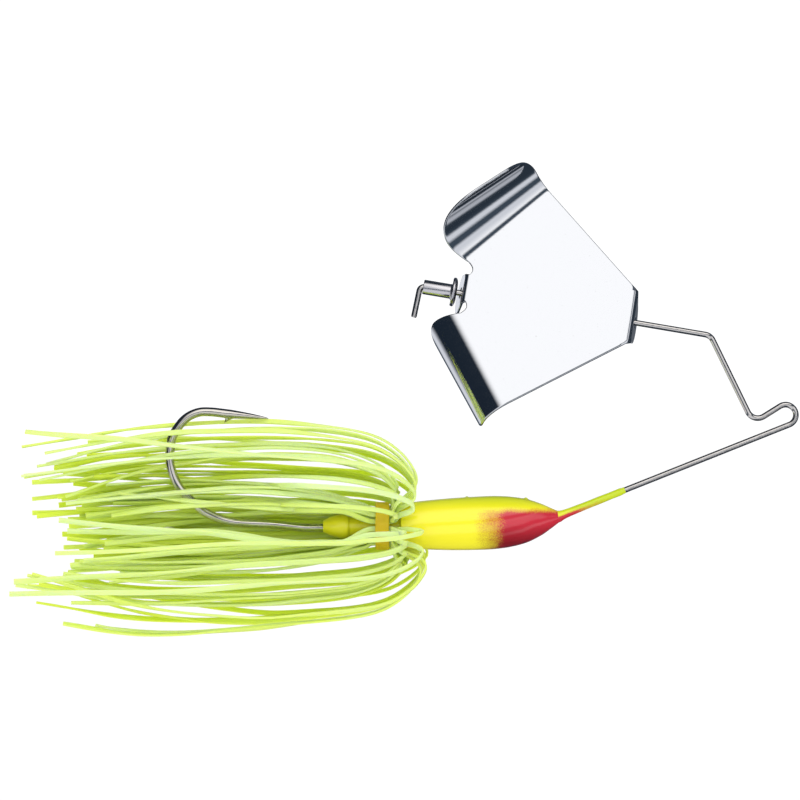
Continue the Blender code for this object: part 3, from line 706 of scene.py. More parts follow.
def add_arm_paint(material):
    """The paint that runs from the nose up the wire: a sleeve whose radius falls away from the
    nose as a power of the distance, flares into the nose as exp(-distance), swells and thins in
    drips, and steps down in a half cosine to a thin rim."""
    walk, _ = placed_walk()
    start = np.array(walk.points[-1])
    d = np.concatenate([np.linspace(0.0, COAT_STEP_RUN, 19),
                        np.linspace(COAT_STEP_RUN + 0.1, COAT_LENGTH + COAT_LAP, 90)])
    path = start + d[:, None] * walk.unit()
    share = np.clip((d - COAT_STEP_RUN) / (COAT_LENGTH - COAT_STEP_RUN), 0.0, 1.0)
    radius = COAT_R[1] + (COAT_R[0] - COAT_R[1]) * share ** COAT_TAPER
    radius = radius + COAT_UNEVEN[0] * ripple(d, 0.0 * d, 0.55, 3)
    flare, flare_length = FLARE
    radius = radius + flare * np.exp(-np.maximum(COAT_LENGTH - d, 0.0) / flare_length)
    rim = 0.5 - 0.5 * np.cos(math.pi * np.clip((d - RIM_RAMP[0]) / RIM_RAMP[1], 0.0, 1.0))
    radius = (WIRE_R + RIM_THICK) * (1.0 - rim) + radius * rim
    radius[:len(RIM_PAINT)] = WIRE_R + np.array(RIM_PAINT)
    rings = swept_rings(path, radius, ROUND_SIDES)
    around = np.cos(full_turn(ROUND_SIDES))[None]
    rings[:, :, 1] += COAT_UNEVEN[1] * ripple(d[:, None] * 2.0, 1.3 * around, 0.6, 5)
    mesh = tube_mesh("arm_paint", rings)
    add_piece(mesh, material, "lure_body")


# ---------------------------------------------------------------- head and hook

def add_head(material):
    """Bullet, collar and keeper as one skin of oval rings: at each X, a centre height, a half
    height and a half width. The nose is a quarter ellipse, the rim's edge and the collar's root
    are quarter circles, and paint nibs are small bell curves on the ridge."""
    smooth = spline(HEAD_STATIONS, 12)
    share = np.concatenate([np.linspace(1.0, 0.9, 40), np.linspace(0.9, 0.02, 150)[1:]])
    x = RIM_X + share * (NOSE_X - RIM_X)
    rise = np.interp(share, smooth[:, 0], smooth[:, 1])
    half = np.interp(share, smooth[:, 0], smooth[:, 2])
    tip_length, tip_half = NOSE_TIP
    left = 1.0 - np.linspace(0.0, 1.0, 10)[:-1]
    nose_x = NOSE_X + tip_length * left
    nose_half = tip_half + (half[0] - tip_half) * np.sqrt(1.0 - left ** 2)
    rim_a = np.linspace(0.0, 0.5 * math.pi, 9)
    rim_x = RIM_X + RIM_ROUND * (1.0 - np.sin(rim_a))
    rim_half = half[-1] - RIM_STEP - RIM_ROUND * (1.0 - np.cos(rim_a))
    face_half = np.linspace(rim_half[-1], COLLAR_R + COLLAR_ROOT, 8)[1:]
    root_a = np.linspace(0.0, 0.5 * math.pi, 6)[1:]
    root_x = RIM_X - COLLAR_ROOT * (1.0 - np.cos(root_a))
    root_half = COLLAR_R + COLLAR_ROOT * (1.0 - np.sin(root_a))
    collar_x = np.linspace(RIM_X - 0.6, BAND_REAR_X + 0.2, 12)
    keeper = spline(KEEPER, 6)
    tail_x = np.concatenate([rim_x, np.full(len(face_half), RIM_X), root_x, collar_x,
                             keeper[:, 0]])
    tail_half = np.concatenate([rim_half, face_half, root_half,
                                np.full(len(collar_x), COLLAR_R), keeper[:, 1]])
    stations = np.concatenate([nose_x, x, tail_x])[:, None]
    halves = np.concatenate([nose_half, half, tail_half])[:, None]
    fading = rise[-1] * np.linspace(1.0, 0.0, len(rim_x) + len(face_half))
    level = np.zeros(len(tail_x) - len(fading))
    rises = np.concatenate([np.full(len(nose_x), rise[0]), rise, fading, level])[:, None]
    widths = np.where(stations > RIM_X, HEAD_WIDTH, 1.0)
    a = full_turn(HEAD_SIDES)[None]
    across = HEAD_HALF * np.cos(a)
    body = (np.clip((stations - RIM_X) / 2.0, 0.0, 1.0)
            * np.clip((NOSE_X - stations) / 2.0, 0.0, 1.0))
    uneven = PAINT_UNEVEN * body * ripple(stations, across, 1.1, 11)
    on_ridge = np.exp(-(across / NIB_WIDTH) ** 2) * (np.sin(a) > 0.0)
    for nib_x, spread, height in PAINT_NIBS:
        uneven = uneven + height * on_ridge * np.exp(-((stations - nib_x) / spread) ** 2)
    radius = halves + uneven
    rings = np.stack([stations + 0.0 * radius, widths * radius * np.cos(a),
                      AXIS_Z + rises + radius * np.sin(a)], axis=-1)
    mesh = tube_mesh("head_casting", rings)
    add_piece(mesh, material, "lure_body", ["head"], sharp=50.0)


def add_hook(material):
    """Round wire swept along the shank and round the bend to the point. The radius falls to the
    needle point as a power of the length to go, and a barb is pulled out of the inner side: a
    thorn that is narrow both along the wire and round it. The eye is an open ring of its own."""
    flat = np.vstack([[(EYE_X - EYE_R - EYE_NECK, EYE_Z), (KEEPER_REAR_X, HOOK_LINE[0][1])],
                      spline(HOOK_LINE, 8), [HOOK_TIP]])
    flat = resampled(flat, HOOK_STEP)
    run = run_length(flat)
    radii = HOOK_R * np.clip((run[-1] - run) / POINT_LENGTH, 0.0, 1.0) ** POINT_TAPER
    radii[-1] = TIP_R
    rings = swept_rings(flat, radii, ROUND_SIDES)
    a = full_turn(ROUND_SIDES)[None]
    half_way = len(flat) // 2
    barb_run = run[half_way + np.abs(flat[half_way:, 0] - BARB_X).argmin()]
    lift = np.clip(1.0 - np.abs(run - barb_run) / BARB_HALF, 0.0, 1.0)[:, None] ** 1.5
    thorn = lift * np.clip(-np.sin(a), 0.0, 1.0) ** BARB_NARROW
    along = headings(flat)
    none = np.zeros(len(flat))
    forward = np.column_stack([along[:, 0], none, along[:, 1]])
    inward = np.column_stack([along[:, 1], none, -along[:, 0]])
    rings = rings + thorn[..., None] * (BARB_RISE * inward - BARB_SWEEP * forward)[:, None]
    mesh = tube_mesh("hook_wire", rings, run[-1])
    add_piece(mesh, material, "lure_body", ["hook"])

    turn = np.radians(np.linspace(150.0, -150.0, 60))[:, None]
    around = full_turn(24)[None]
    out = EYE_R + HOOK_R * np.cos(around)
    ring = np.stack([EYE_X + out * np.cos(turn), out * np.sin(turn),
                     EYE_Z + HOOK_R * np.sin(around) + 0.0 * turn], axis=-1)
    mesh = tube_mesh("hook_eye", ring)
    add_piece(mesh, material, "lure_body")


# ---------------------------------------------------------------- skirt

def add_band(material):
    """A turned ring of rubber: a rounded oblong profile carried round the axis, squeezed a
    little unevenly by the strands under it."""
    low, high = BAND_R
    t = full_turn(32)[:, None]
    a = full_turn(96)[None]
    across = flattened(np.cos(t), BAND_ROUND)
    outward = flattened(np.sin(t), BAND_ROUND)
    x = BAND_MID_X + 0.5 * (BAND_FRONT_X - BAND_REAR_X) * across + 0.05 * np.sin(3 * a + 1.0)
    squeeze = 0.05 * np.sin(13 * a) * (outward > 0.0)
    radius = 0.5 * (low + high) + 0.5 * (high - low) * outward + squeeze
    points = np.stack([x, radius * np.cos(a), AXIS_Z + radius * np.sin(a)], axis=-1)
    quads, uv = lattice(32, 96, True, True)
    mesh = build_mesh("skirt_collar_band", points.reshape(-1, 3), quads.tolist(), uv)
    give_tint_and_shade(mesh, 0.3)
    add_piece(mesh, material, "lure_body", ["skirt_band"])


def filament_plan():
    """One entry for each strand: its layer, its angle from +Z, and its own variation."""
    rng = np.random.default_rng(SKIRT_SEED)
    plan = []
    for layer, (count, radius) in enumerate(LAYERS):
        for k in range(count):
            angle = 2.0 * math.pi * (k + 0.5 + ANGLE_VARY * rng.uniform(-1, 1)) / count
            plan.append((layer, radius, angle, rng.uniform(-1, 1, 8)))
    return plan


def filament_line(layer, radius, angle, vary):
    """Key points from the rear tail's end, under the band, round the loop to the front
    tail's end. Height runs along cos(angle) and depth along sin(angle)."""
    up, out = math.cos(angle), math.sin(angle)

    def at(x, high, deep, drop=0.0):
        return (x, deep * out, AXIS_Z + high * up + drop)

    front, rear = BAND_FRONT_X, BAND_REAR_X
    spread = TAIL_SPREAD[layer] + 0.8 * vary[0]
    rear_end = TAIL_END_X - 4.0 * abs(vary[1]) + 5.0 * (abs(vary[2]) > 0.8)
    depth = TAIL_DEPTH[layer] * spread
    tail = [
        at(rear_end, 1.05 * spread, depth, -0.8 + 0.9 * vary[3]),
        at(-98.0, 1.05 * spread, depth, -0.3 + 0.5 * vary[3]),
        at(-84.0, 0.92 * spread, 0.96 * depth),
        at(-74.0, 0.72 * spread, 0.82 * depth),
        at(rear - 2.4, radius + 0.5, radius + 0.5),
        at(rear - 0.6, radius + 0.04, radius + 0.04),
        at(BAND_MID_X, radius, radius),
        at(front, radius, radius),
    ]
    # inner strands turn out in front of the outer ones, and make the larger loops
    lead = TURN_LEAD[layer]
    turn = [
        at(front + lead, radius + 0.22, radius + 0.22),
        at(front + lead + 0.22, radius + 0.8, radius + 0.8),
        at(front + lead + 0.45, 4.2, 4.2),
    ]
    size = LOOP_SIZE[layer] * (1.0 + LOOP_VARY[layer] * vary[4])
    below = up < 0.0
    high = LOOP_HIGH * size
    deep = LOOP_DEEP * size
    reach = LOOP_FRONT_X + (1.3 if below else 0.0) * size - 2.2 * layer + 0.7 * vary[5]
    loop = [
        at(reach - 0.6, 5.9, 5.6),
        at(reach, 0.52 * high, 0.58 * deep),
        at(reach - 2.6, 0.75 * high, 0.80 * deep),
        at(reach - 7.5, 0.92 * high, 0.95 * deep),
    ]
    end_x = SWEEP_END_X - 4.5 * vary[6]
    rise = SWEEP_RISE_LOWER if below else SWEEP_RISE_UPPER
    sweep = [
        at(-76.0, 1.01 * high, deep),
        at(-88.0, rise[0] * high, 1.02 * deep, 0.3 * vary[7]),
        at(-103.0, rise[1] * high, 0.95 * deep, 0.9 * vary[7]),
        at(end_x, rise[2] * high, 0.82 * deep, 1.8 * vary[7]),
    ]
    return np.array(tail + turn + loop + sweep)


def stepped(curve, fine, coarse):
    """The curve again, with points a fine step apart near the band and a coarse one beyond."""
    middle = 0.5 * (curve[1:] + curve[:-1])
    away = np.hypot(middle[:, 0] - BAND_MID_X, 0.5 * (middle[:, 2] - AXIS_Z))
    step = fine + (coarse - fine) * np.clip((away - FINE_STEPS[0]) / FINE_STEPS[1], 0.0, 1.0)
    pace = np.linalg.norm(np.diff(curve, axis=0), axis=1) / step
    count = np.concatenate([[0.0], np.cumsum(pace)])
    marks = np.linspace(0.0, count[-1], max(2, round(count[-1])))
    return np.column_stack([np.interp(marks, count, column) for column in curve.T])


def settle(strands, hook_line):
    """Moves strands apart where they come close, and out of the hook's way, a little in each
    round; then each point's shift is evened out with its neighbours' along the strand."""
    owner = np.concatenate([np.full(len(s), k) for k, s in enumerate(strands)])
    order = np.arange(len(owner))
    place = np.concatenate(strands)
    start = place.copy()
    from_axis = np.hypot(place[:, 1], place[:, 2] - AXIS_Z)
    from_band = np.hypot(place[:, 0] - BAND_MID_X, np.maximum(from_axis - UNDER_R, 0.0))
    free = np.clip((from_band - HELD[0]) / HELD[1], 0.0, 1.0)[:, None]
    inner = (owner[1:-1] == owner[:-2]) & (owner[1:-1] == owner[2:])
    for turn in range(SETTLE_ROUNDS):
        if turn % NEIGHBOUR_ROUNDS == 0:
            gap = np.linalg.norm(place[:, None] - place[None], axis=2)
            other = (owner[:, None] < owner[None]) | (order[:, None] + OWN_TAIL < order[None])
            near = np.argwhere((gap < NEIGHBOUR_MM) & other)
        a, b = near.T
        apart = place[a] - place[b]
        distance = np.linalg.norm(apart, axis=1)
        close = distance < CLEAR_MM
        a, b, apart, distance = a[close], b[close], apart[close], distance[close]
        push = apart / distance[:, None] * (0.5 * (CLEAR_MM - distance))[:, None]
        move = np.zeros_like(place)
        np.add.at(move, a, push)
        np.add.at(move, b, -push)
        place = place + PUSH_SHARE * move * free
        # the hook and the gap inside it stay clear
        gap = place[:, None] - hook_line[None]
        distance = np.linalg.norm(gap, axis=2)
        nearest = distance.argmin(axis=1)
        reach = distance[np.arange(len(place)), nearest]
        side = np.where(place[:, 1] < 0.0, -1.0, 1.0)
        inside = ((place[:, 0] < HOOK_GAP_X[1]) & (place[:, 0] > HOOK_GAP_X[0])
                  & (place[:, 2] > HOOK_GAP_Z[0]) & (place[:, 2] < HOOK_GAP_Z[1]))
        want = np.where(inside, GAP_CLEAR_MM, 0.0)
        want = np.maximum(want, np.where(reach < HOOK_CLEAR_MM,
                                         np.abs(place[:, 1]) + HOOK_CLEAR_MM - reach, 0.0))
        short = np.maximum(want - np.abs(place[:, 1]), 0.0)
        place[:, 1] += side * short * 0.5 * free[:, 0]
        shift = place - start
        eased = shift.copy()
        eased[1:-1] = np.where(inner[:, None],
                               0.5 * shift[1:-1] + 0.25 * (shift[:-2] + shift[2:]),
                               shift[1:-1])
        place = start + np.where(free > 0.0, eased, 0.0)
    return [place[owner == k] for k in range(len(strands))]


def skirt_lines():
    """Settled centrelines of all strands, with each one's angle."""
    plan = filament_plan()
    strands = [stepped(spline(filament_line(*entry), 40), 0.25, 1.2) for entry in plan]
    flat = np.vstack([[(EYE_X - EYE_R, EYE_Z), (KEEPER_REAR_X, HOOK_LINE[0][1])],
                      spline(HOOK_LINE, 2), [HOOK_TIP]])
    path = np.column_stack([flat[:, 0], np.zeros(len(flat)), flat[:, 1]])
    hook_line = stepped(spline(path, 12), 1.2, 1.2)
    return settle(strands, hook_line), [entry[2] for entry in plan]


def off_keeper(line):
    """Parts the strands of the show side over the trailer keeper: those that would hide it move
    up or down, up to KEEPER_WINDOW from its axis, and ease back before the hook's bend."""
    x, height = line[:, 0], line[:, 2] - AXIS_Z
    beside = np.abs(x - KEEPER_SWELL_X).argmin()
    if line[beside, 1] > 0.0:
        return line
    ease = smooth_step(np.minimum((BAND_REAR_X - 0.4 - x) / KEEPER_RUN,
                                  (x - BEND_X) / KEEPER_BACK_RUN))
    way = math.copysign(1.0, height[beside])
    off_axis = way * height / KEEPER_WINDOW
    short = KEEPER_WINDOW * np.maximum(1.0 - off_axis, 0.0) * np.clip(2.0 + off_axis, 0.0, 1.0)
    return line + np.outer(way * ease * short, (0.0, 0.0, 1.0))


def behind_bend(line):
    """Lets a strand of the show side pass through the hook's gap, and run behind the lower bend:
    its depth eases over to the far side by PASS_SHARE of what it was."""
    at_bend = np.abs(line[:, 0] - BEND_X).argmin()
    if line[at_bend, 1] > 0.0 or not BEND_LOW_Z < line[at_bend, 2] < BEND_HIGH_Z:
        return line
    ease = smooth_step((PASS_FROM_X - line[:, 0]) / (PASS_FROM_X - BEND_X - BEND_PASS_MM))
    return line - np.outer(PASS_SHARE * ease * line[:, 1], (0.0, 1.0, 0.0))


def off_band(points):
    """Distance from the circle on which the strands lie under the middle of the band."""
    from_axis = np.hypot(points[:, 1], points[:, 2] - AXIS_Z)
    return np.hypot(points[:, 0] - BAND_MID_X, from_axis - UNDER_R)


def strand_mesh(name, line, angle, rng):
    """A flat silicone strip along its line: a rounded oblong, wide side along the band's
    tangent. Away from the band it strays as a power of the distance, flutters as a sine along
    its run, and twists as the sum of two."""
    path = resampled(spline(behind_bend(off_keeper(line)), 3), STRAND_STEP)
    back = np.abs(path[:, 0] - BAND_REAR_X)
    far = np.clip((back - STRAY_FROM) / STRAY_RUN, 0.0, 1.4) ** 1.3
    stray = np.clip(rng.normal(0.0, STRAY_MM), -STRAY_MOST_MM, STRAY_MOST_MM)
    path = path + np.outer(far, (0.0, 0.4, 1.0)) * stray
    along = headings(path)
    sideways = np.array([0.0, math.cos(angle), -math.sin(angle)])
    wide = sideways - along * (along @ sideways)[:, None]
    wide /= np.linalg.norm(wide, axis=1, keepdims=True)
    thick = np.cross(along, wide)
    run = run_length(path)
    free = np.clip((off_band(path) - FLUTTER_FROM[0]) / FLUTTER_FROM[1], 0.0, 1.0)
    phase, pace = rng.uniform(0, 2 * math.pi, 3), rng.uniform(7.0, 13.0, 3)
    twist = free * (TWIST[0] * np.sin(run / pace[0] + phase[0])
                    + TWIST[1] * np.sin(run / 3.1 + phase[1]))
    flat = np.cos(twist)[:, None] * wide + np.sin(twist)[:, None] * thick
    deep = np.cross(along, flat)
    wave = FLUTTER_MM * free * np.sin(run / pace[1] * 2.2 + phase[2])
    path = path + wave[:, None] * flat
    width = STRAND_WIDTH * (rng.uniform(0.95, 1.30) + 0.05 * np.sin(run / pace[2] + phase[1]))
    t = full_turn(STRAND_SIDES)[None]
    u = flattened(np.cos(t), STRAND_ROUND)
    v = flattened(np.sin(t), STRAND_ROUND)
    rings = (path[:, None] + 0.5 * width[:, None, None] * u[..., None] * flat[:, None]
             + 0.5 * STRAND_THICK * v[..., None] * deep[:, None])
    return tube_mesh(name, rings, run[-1])


def between(line, other, share, rng):
    """A strand that runs between two others: each half, from the band to its end, is their
    mixture point by point, and is cut a little shorter."""
    halves = []
    for pick in (0, 1):
        pair = []
        for full in (line, other):
            under = off_band(full).argmin()
            half = full[under::-1] if pick == 0 else full[under:]
            run = run_length(half)
            marks = np.linspace(0.0, run[-1], HALF_POINTS)
            pair.append(np.column_stack([np.interp(marks, run, column) for column in half.T]))
        swing = np.linspace(0.0, rng.uniform(2.0, 6.0), HALF_POINTS)[:, None]
        sway = share + SWAY * np.sin(swing)
        mixed = pair[0] * (1.0 - sway) + pair[1] * sway
        halves.append(mixed[:HALF_POINTS - int(rng.integers(0, 10))])
    return np.vstack([halves[0][:0:-1], halves[1]])


def add_skirt(material):
    """Every strand of the skirt, then the strands that fill the spaces between neighbours of
    one layer. Those are left out where the hook's plane runs between the two, and in the middle
    of the show side."""
    rng = np.random.default_rng(SKIRT_SEED + 1)
    lines, angles = skirt_lines()
    for number, (line, angle) in enumerate(zip(lines, angles), 1):
        mesh = strand_mesh(f"strand_{number:02d}", line, angle, rng)
        give_tint_and_shade(mesh, rng.uniform(*STRAND_TINT_AND_SHEEN), FAR_PAINTED_SHADE)
        add_piece(mesh, material, "lure_body",
                  [f"skirt_filament_{number:02d}"], sharp=50.0)
    first = 0
    for count, _ in LAYERS:
        for k in range(count):
            here, after = first + k, first + (k + 1) % count
            turn = (angles[after] - angles[here]) % (2.0 * math.pi)
            side, side_after = math.sin(angles[here]), math.sin(angles[here] + turn)
            if side * side_after < 0.0 or side + side_after < FILL_FROM:
                continue
            shares = {"a": 0.33, "b": 0.67} if side + side_after > 0.0 else {"a": 0.5}
            for letter, share in shares.items():
                line = between(lines[here], lines[after], share + rng.uniform(-0.1, 0.1), rng)
                mesh = strand_mesh(f"filling_strand_{here + 1:02d}{letter}", line,
                                   angles[here] + share * turn, rng)
                give_tint_and_shade(mesh, rng.uniform(*STRAND_TINT_AND_SHEEN), FAR_PAINTED_SHADE)
                add_piece(mesh, material, "lure_body", sharp=50.0)
        first += count


# ---------------------------------------------------------------- blade and rivet

def on_shaft(a, height, w, tilt=0.0):
    """Points of the shaft's own frame, in the lure's frame: a back along the shaft from its
    front end, height towards the show side, w up, turned about the shaft by the tilt."""
    front = placed_walk()[1]
    turn, drop = math.radians(-tilt), math.radians(SHAFT_TILT)
    x, y = -a, -height * math.cos(turn) - w * math.sin(turn)
    z = -height * math.sin(turn) + w * math.cos(turn)
    return np.stack([front[0] + x * math.cos(drop) + z * math.sin(drop), y,
                     front[1] - x * math.sin(drop) + z * math.cos(drop)], axis=-1)


def rim_inset(left, radius):
    """How far a rounded corner pulls an edge in, at a distance left before the rim."""
    short = np.maximum(0.0, radius - left)
    return radius - np.sqrt(radius ** 2 - short ** 2)


def wing_corner(side):
    """Where the leading edge meets the roll, as (a, w) with w always positive."""
    edge = math.radians(EDGE_ANGLE[side])
    flat = EDGE_FLAT[side]
    return np.array([flat * math.cos(edge), FRONT_HALF + flat * math.sin(edge)])


def wing_sheet(side, rows, columns):
    """One rolled wing as (a, height, w) arrays. Down the rows the sheet turns on a cone: out by
    radius * sin(turn), and towards or away from the show side by radius * (1 - cos(turn)).
    Along the columns it runs from leading to trailing edge, where the radius grows."""
    corner, root = wing_corner(side), np.array(WING_ROOT)
    width = float(np.linalg.norm(root - corner))
    across = (root - corner) / width
    outward = np.array([-across[1], across[0]])
    lean = math.tan(math.atan2(outward[1], outward[0]) - math.radians(EDGE_ANGLE[side]))
    tight, wide = ROLL_R[side]
    arc = math.radians(ROLL_ARC[side])
    span = arc * (tight + wide) / 2
    share = (1.0 - (1.0 - np.linspace(0.0, 1.0, rows)) ** ROLL_EASE)[:, None]
    run = span * share
    front_round, rear_round = RIM_CORNERS[side]
    first = rim_inset(span - run, front_round) + lean * run
    last = width + TRAILING_BULGE * np.sin(math.pi * share) - rim_inset(span - run, rear_round)
    q = first + (last - first) * np.linspace(0.0, 1.0, columns)
    radius = tight + (wide - tight) * np.clip(q / width, 0.0, 1.0)
    a = corner[0] + q * across[0] + radius * np.sin(arc * share) * outward[0]
    w = corner[1] + q * across[1] + radius * np.sin(arc * share) * outward[1]
    height = BLADE_BACK + side * radius * (1.0 - np.cos(arc * share))
    return np.stack([a, height, side * w], axis=-1)


def plate_edges(counts_lead, counts_trail):
    """The plate's leading and trailing outlines, row for row, as (a, w) from the upper roll
    over the lug's fold line to the lower roll."""
    def line(p, q, n):
        return np.linspace(p, q, n + 1)[:-1]

    rise = {s: FOLD_BACK * math.tan(math.radians(EDGE_ANGLE[s])) for s in (1, -1)}
    rim = {s: np.array([FOLD_BACK, s * (FRONT_HALF + rise[s])]) for s in (1, -1)}
    top, bottom = wing_corner(1), wing_corner(-1) * (1, -1)
    lead = np.vstack([line(top, rim[1], counts_lead[0]), line(rim[1], rim[-1], counts_lead[1]),
                      line(rim[-1], bottom, counts_lead[0]), [bottom]])
    w = np.concatenate([line(WING_ROOT[1], NECK_HALF, counts_trail[0]),
                        line(NECK_HALF, -NECK_HALF, counts_trail[1]),
                        line(-NECK_HALF, -WING_ROOT[1], counts_trail[0]), [-WING_ROOT[1]]])
    slit = np.clip((np.abs(w) - NECK_HALF) / (WING_ROOT[1] - NECK_HALF), 0.0, 1.0)
    neck_a = BLADE_LENGTH - FOLD_BACK
    a = neck_a + (WING_ROOT[0] - neck_a) * slit - NOTCH_DEPTH * np.sin(math.pi * slit)
    return lead, np.column_stack([a, w])


def lug_sheet(root, outward, rings):
    """A lug as (a, height, w): rays from its hole to its outline, which is the fold line's own
    points and then a round end. Past the fold line the sheet turns back on a small radius."""
    fold = math.radians(LUG_FOLD)
    arc_run = FOLD_R * fold
    centre = arc_run + (BLADE_BACK - FOLD_R * (1.0 - math.cos(fold))) / math.sin(fold)
    t = np.radians(np.linspace(-80.0, 80.0, 33))
    side = math.copysign(1.0, root[0, 1] - root[-1, 1])
    end = np.column_stack([centre + LUG_HALF * np.cos(t), side * LUG_HALF * np.sin(t)])
    base = np.column_stack([np.zeros(len(root)), root[:, 1]])
    flank = np.linspace(0.0, 1.0, 6)[1:-1, None]
    outline = np.vstack([base, base[-1] + flank * (end[0] - base[-1]), end,
                         end[-1] + flank * (base[0] - end[-1])])
    ray = outline - (centre, 0.0)
    hole = (centre, 0.0) + LUG_HOLE_R * ray / np.linalg.norm(ray, axis=1, keepdims=True)
    s = np.linspace(0.0, 1.0, rings)[:, None, None]
    flat = hole + s * (outline - hole)
    p, w = flat[..., 0], flat[..., 1]
    turned = np.clip(p / FOLD_R, 0.0, fold)
    beyond = np.maximum(p - arc_run, 0.0)
    ahead = FOLD_R * np.sin(turned) + beyond * math.cos(fold)
    back = FOLD_R * (1.0 - np.cos(turned)) + beyond * math.sin(fold)
    return np.stack([root[0, 0] + outward * ahead, BLADE_BACK - back, w], axis=-1)


def add_blade(material):
    """One sheet: the flat plate ruled between its outlines, a rolled wing at each end, and a
    folded lug front and rear; then it is given its thickness and its edges are broken."""
    lead, trail = plate_edges(LEAD_ROWS, TRAIL_ROWS)
    reach = np.linspace(0.0, 1.0, PLATE_COLUMNS)[None, :, None]
    flat = lead[:, None] + (trail - lead)[:, None] * reach
    plate = np.stack([flat[..., 0], np.full(flat.shape[:2], BLADE_BACK), flat[..., 1]], axis=-1)
    front_root = lead[LEAD_ROWS[0]:][:LEAD_ROWS[1] + 1]
    rear_root = trail[TRAIL_ROWS[0]:][:TRAIL_ROWS[1] + 1]
    sheets = [(plate, False),
              (wing_sheet(1, WING_ROWS, PLATE_COLUMNS), False),
              (wing_sheet(-1, WING_ROWS, PLATE_COLUMNS), False),
              (lug_sheet(front_root, -1, LUG_ROWS), True),
              (lug_sheet(rear_root, 1, LUG_ROWS), True)]
    points, faces, uvs, start = [], [], [], 0
    for grid, closed in sheets:
        quads, _ = lattice(*grid.shape[:2], closed_columns=closed)
        flat_points = grid.reshape(-1, 3)
        points.append(flat_points)
        faces.append(quads + start)
        uvs.append(flat_points[quads][..., (0, 2)])
        start += len(flat_points)
    a, height, w = np.vstack(points).T
    mesh = build_mesh("propeller_blade", on_shaft(BLADE_FRONT + a, height, w, BLADE_TILT),
                      np.vstack(faces).tolist(), np.vstack(uvs))
    blade = add_piece(mesh, material, "propeller", ["blade"], sharp=40.0)
    sheet = blade.modifiers.new("sheet", "SOLIDIFY")
    sheet.thickness = SHEET * MM
    sheet.offset = 0.0
    sheet.use_even_offset = True
    edge = blade.modifiers.new("broken_edge", "BEVEL")
    edge.width = BROKEN_EDGE * MM
    edge.use_clamp_overlap = False
    edge.segments = 2
    edge.limit_method = "ANGLE"
    edge.angle_limit = math.radians(50.0)


def add_rivet(material):
    """A turned tube with a domed flange: a profile of (a, radius) carried round the shaft. The
    dome, the flange's rear edge and the throat behind it are quarter ellipses."""
    face, rear = RIVET_FRONT, RIVET_FRONT + RIVET_LENGTH
    back = face + FLANGE_THICK
    mouth = RIVET_BORE_R + BORE_LIP
    dome = np.radians(np.linspace(0.0, 90.0, 10))
    front = np.column_stack([face + DOME_RISE * (1.0 - np.cos(dome)),
                             mouth + (FLANGE_R - mouth) * np.sin(dome)])
    lip = np.radians(np.linspace(0.0, 90.0, 6))
    edge_along, edge_across = FLANGE_ROUND
    under = np.column_stack([back - edge_along * (1.0 - np.sin(lip)),
                             FLANGE_R - edge_across * (1.0 - np.cos(lip))])
    throat = np.column_stack([back + THROAT_ROUND * (1.0 - np.cos(lip)),
                              RIVET_R + THROAT_ROUND * (1.0 - np.sin(lip))])
    tube = [(rear - 0.12, RIVET_R), (rear - 0.04, RIVET_R - 0.03), (rear, RIVET_R - 0.09),
            (rear, RIVET_BORE_R + 0.04), (rear - 0.05, RIVET_BORE_R), (face + 0.06, RIVET_BORE_R),
            (face, RIVET_BORE_R + 0.05)]
    profile = np.vstack([front, under, throat, tube])
    turn = full_turn(72)[None]
    along, radius = profile[:, :1], profile[:, 1:]
    points = on_shaft(along + 0.0 * turn, -radius * np.cos(turn), radius * np.sin(turn))
    quads, uv = lattice(len(profile), 72, True, True)
    uv = uv[..., ::-1] * (3.0, 1.0)
    mesh = build_mesh("rivet", points.reshape(-1, 3), quads.tolist(), uv)
    add_piece(mesh, material, "bushing", ["rivet_bushing"])


# ---------------------------------------------------------------- stage

def add_floor():
    """A plain pale floor well below the lure, wide enough for every view."""
    size, low = 20.0, -0.16
    corners = [(-size, -size, low), (size, -size, low), (size, size, low), (-size, size, low)]
    mesh = bpy.data.meshes.new("floor")
    mesh.from_pydata(corners, [], [(0, 1, 2, 3)])
    material = bpy.data.materials.new("floor_white")
    material.use_nodes = True
    shader = material.node_tree.nodes["Principled BSDF"]
    shader.inputs["Base Color"].default_value = (1.0, 1.0, 1.0, 1.0)
    shader.inputs["Roughness"].default_value = 0.9
    mesh.materials.append(material)
    floor = bpy.data.objects.new("floor", mesh)
    bpy.context.collection.objects.link(floor)
    floor.visible_glossy = False


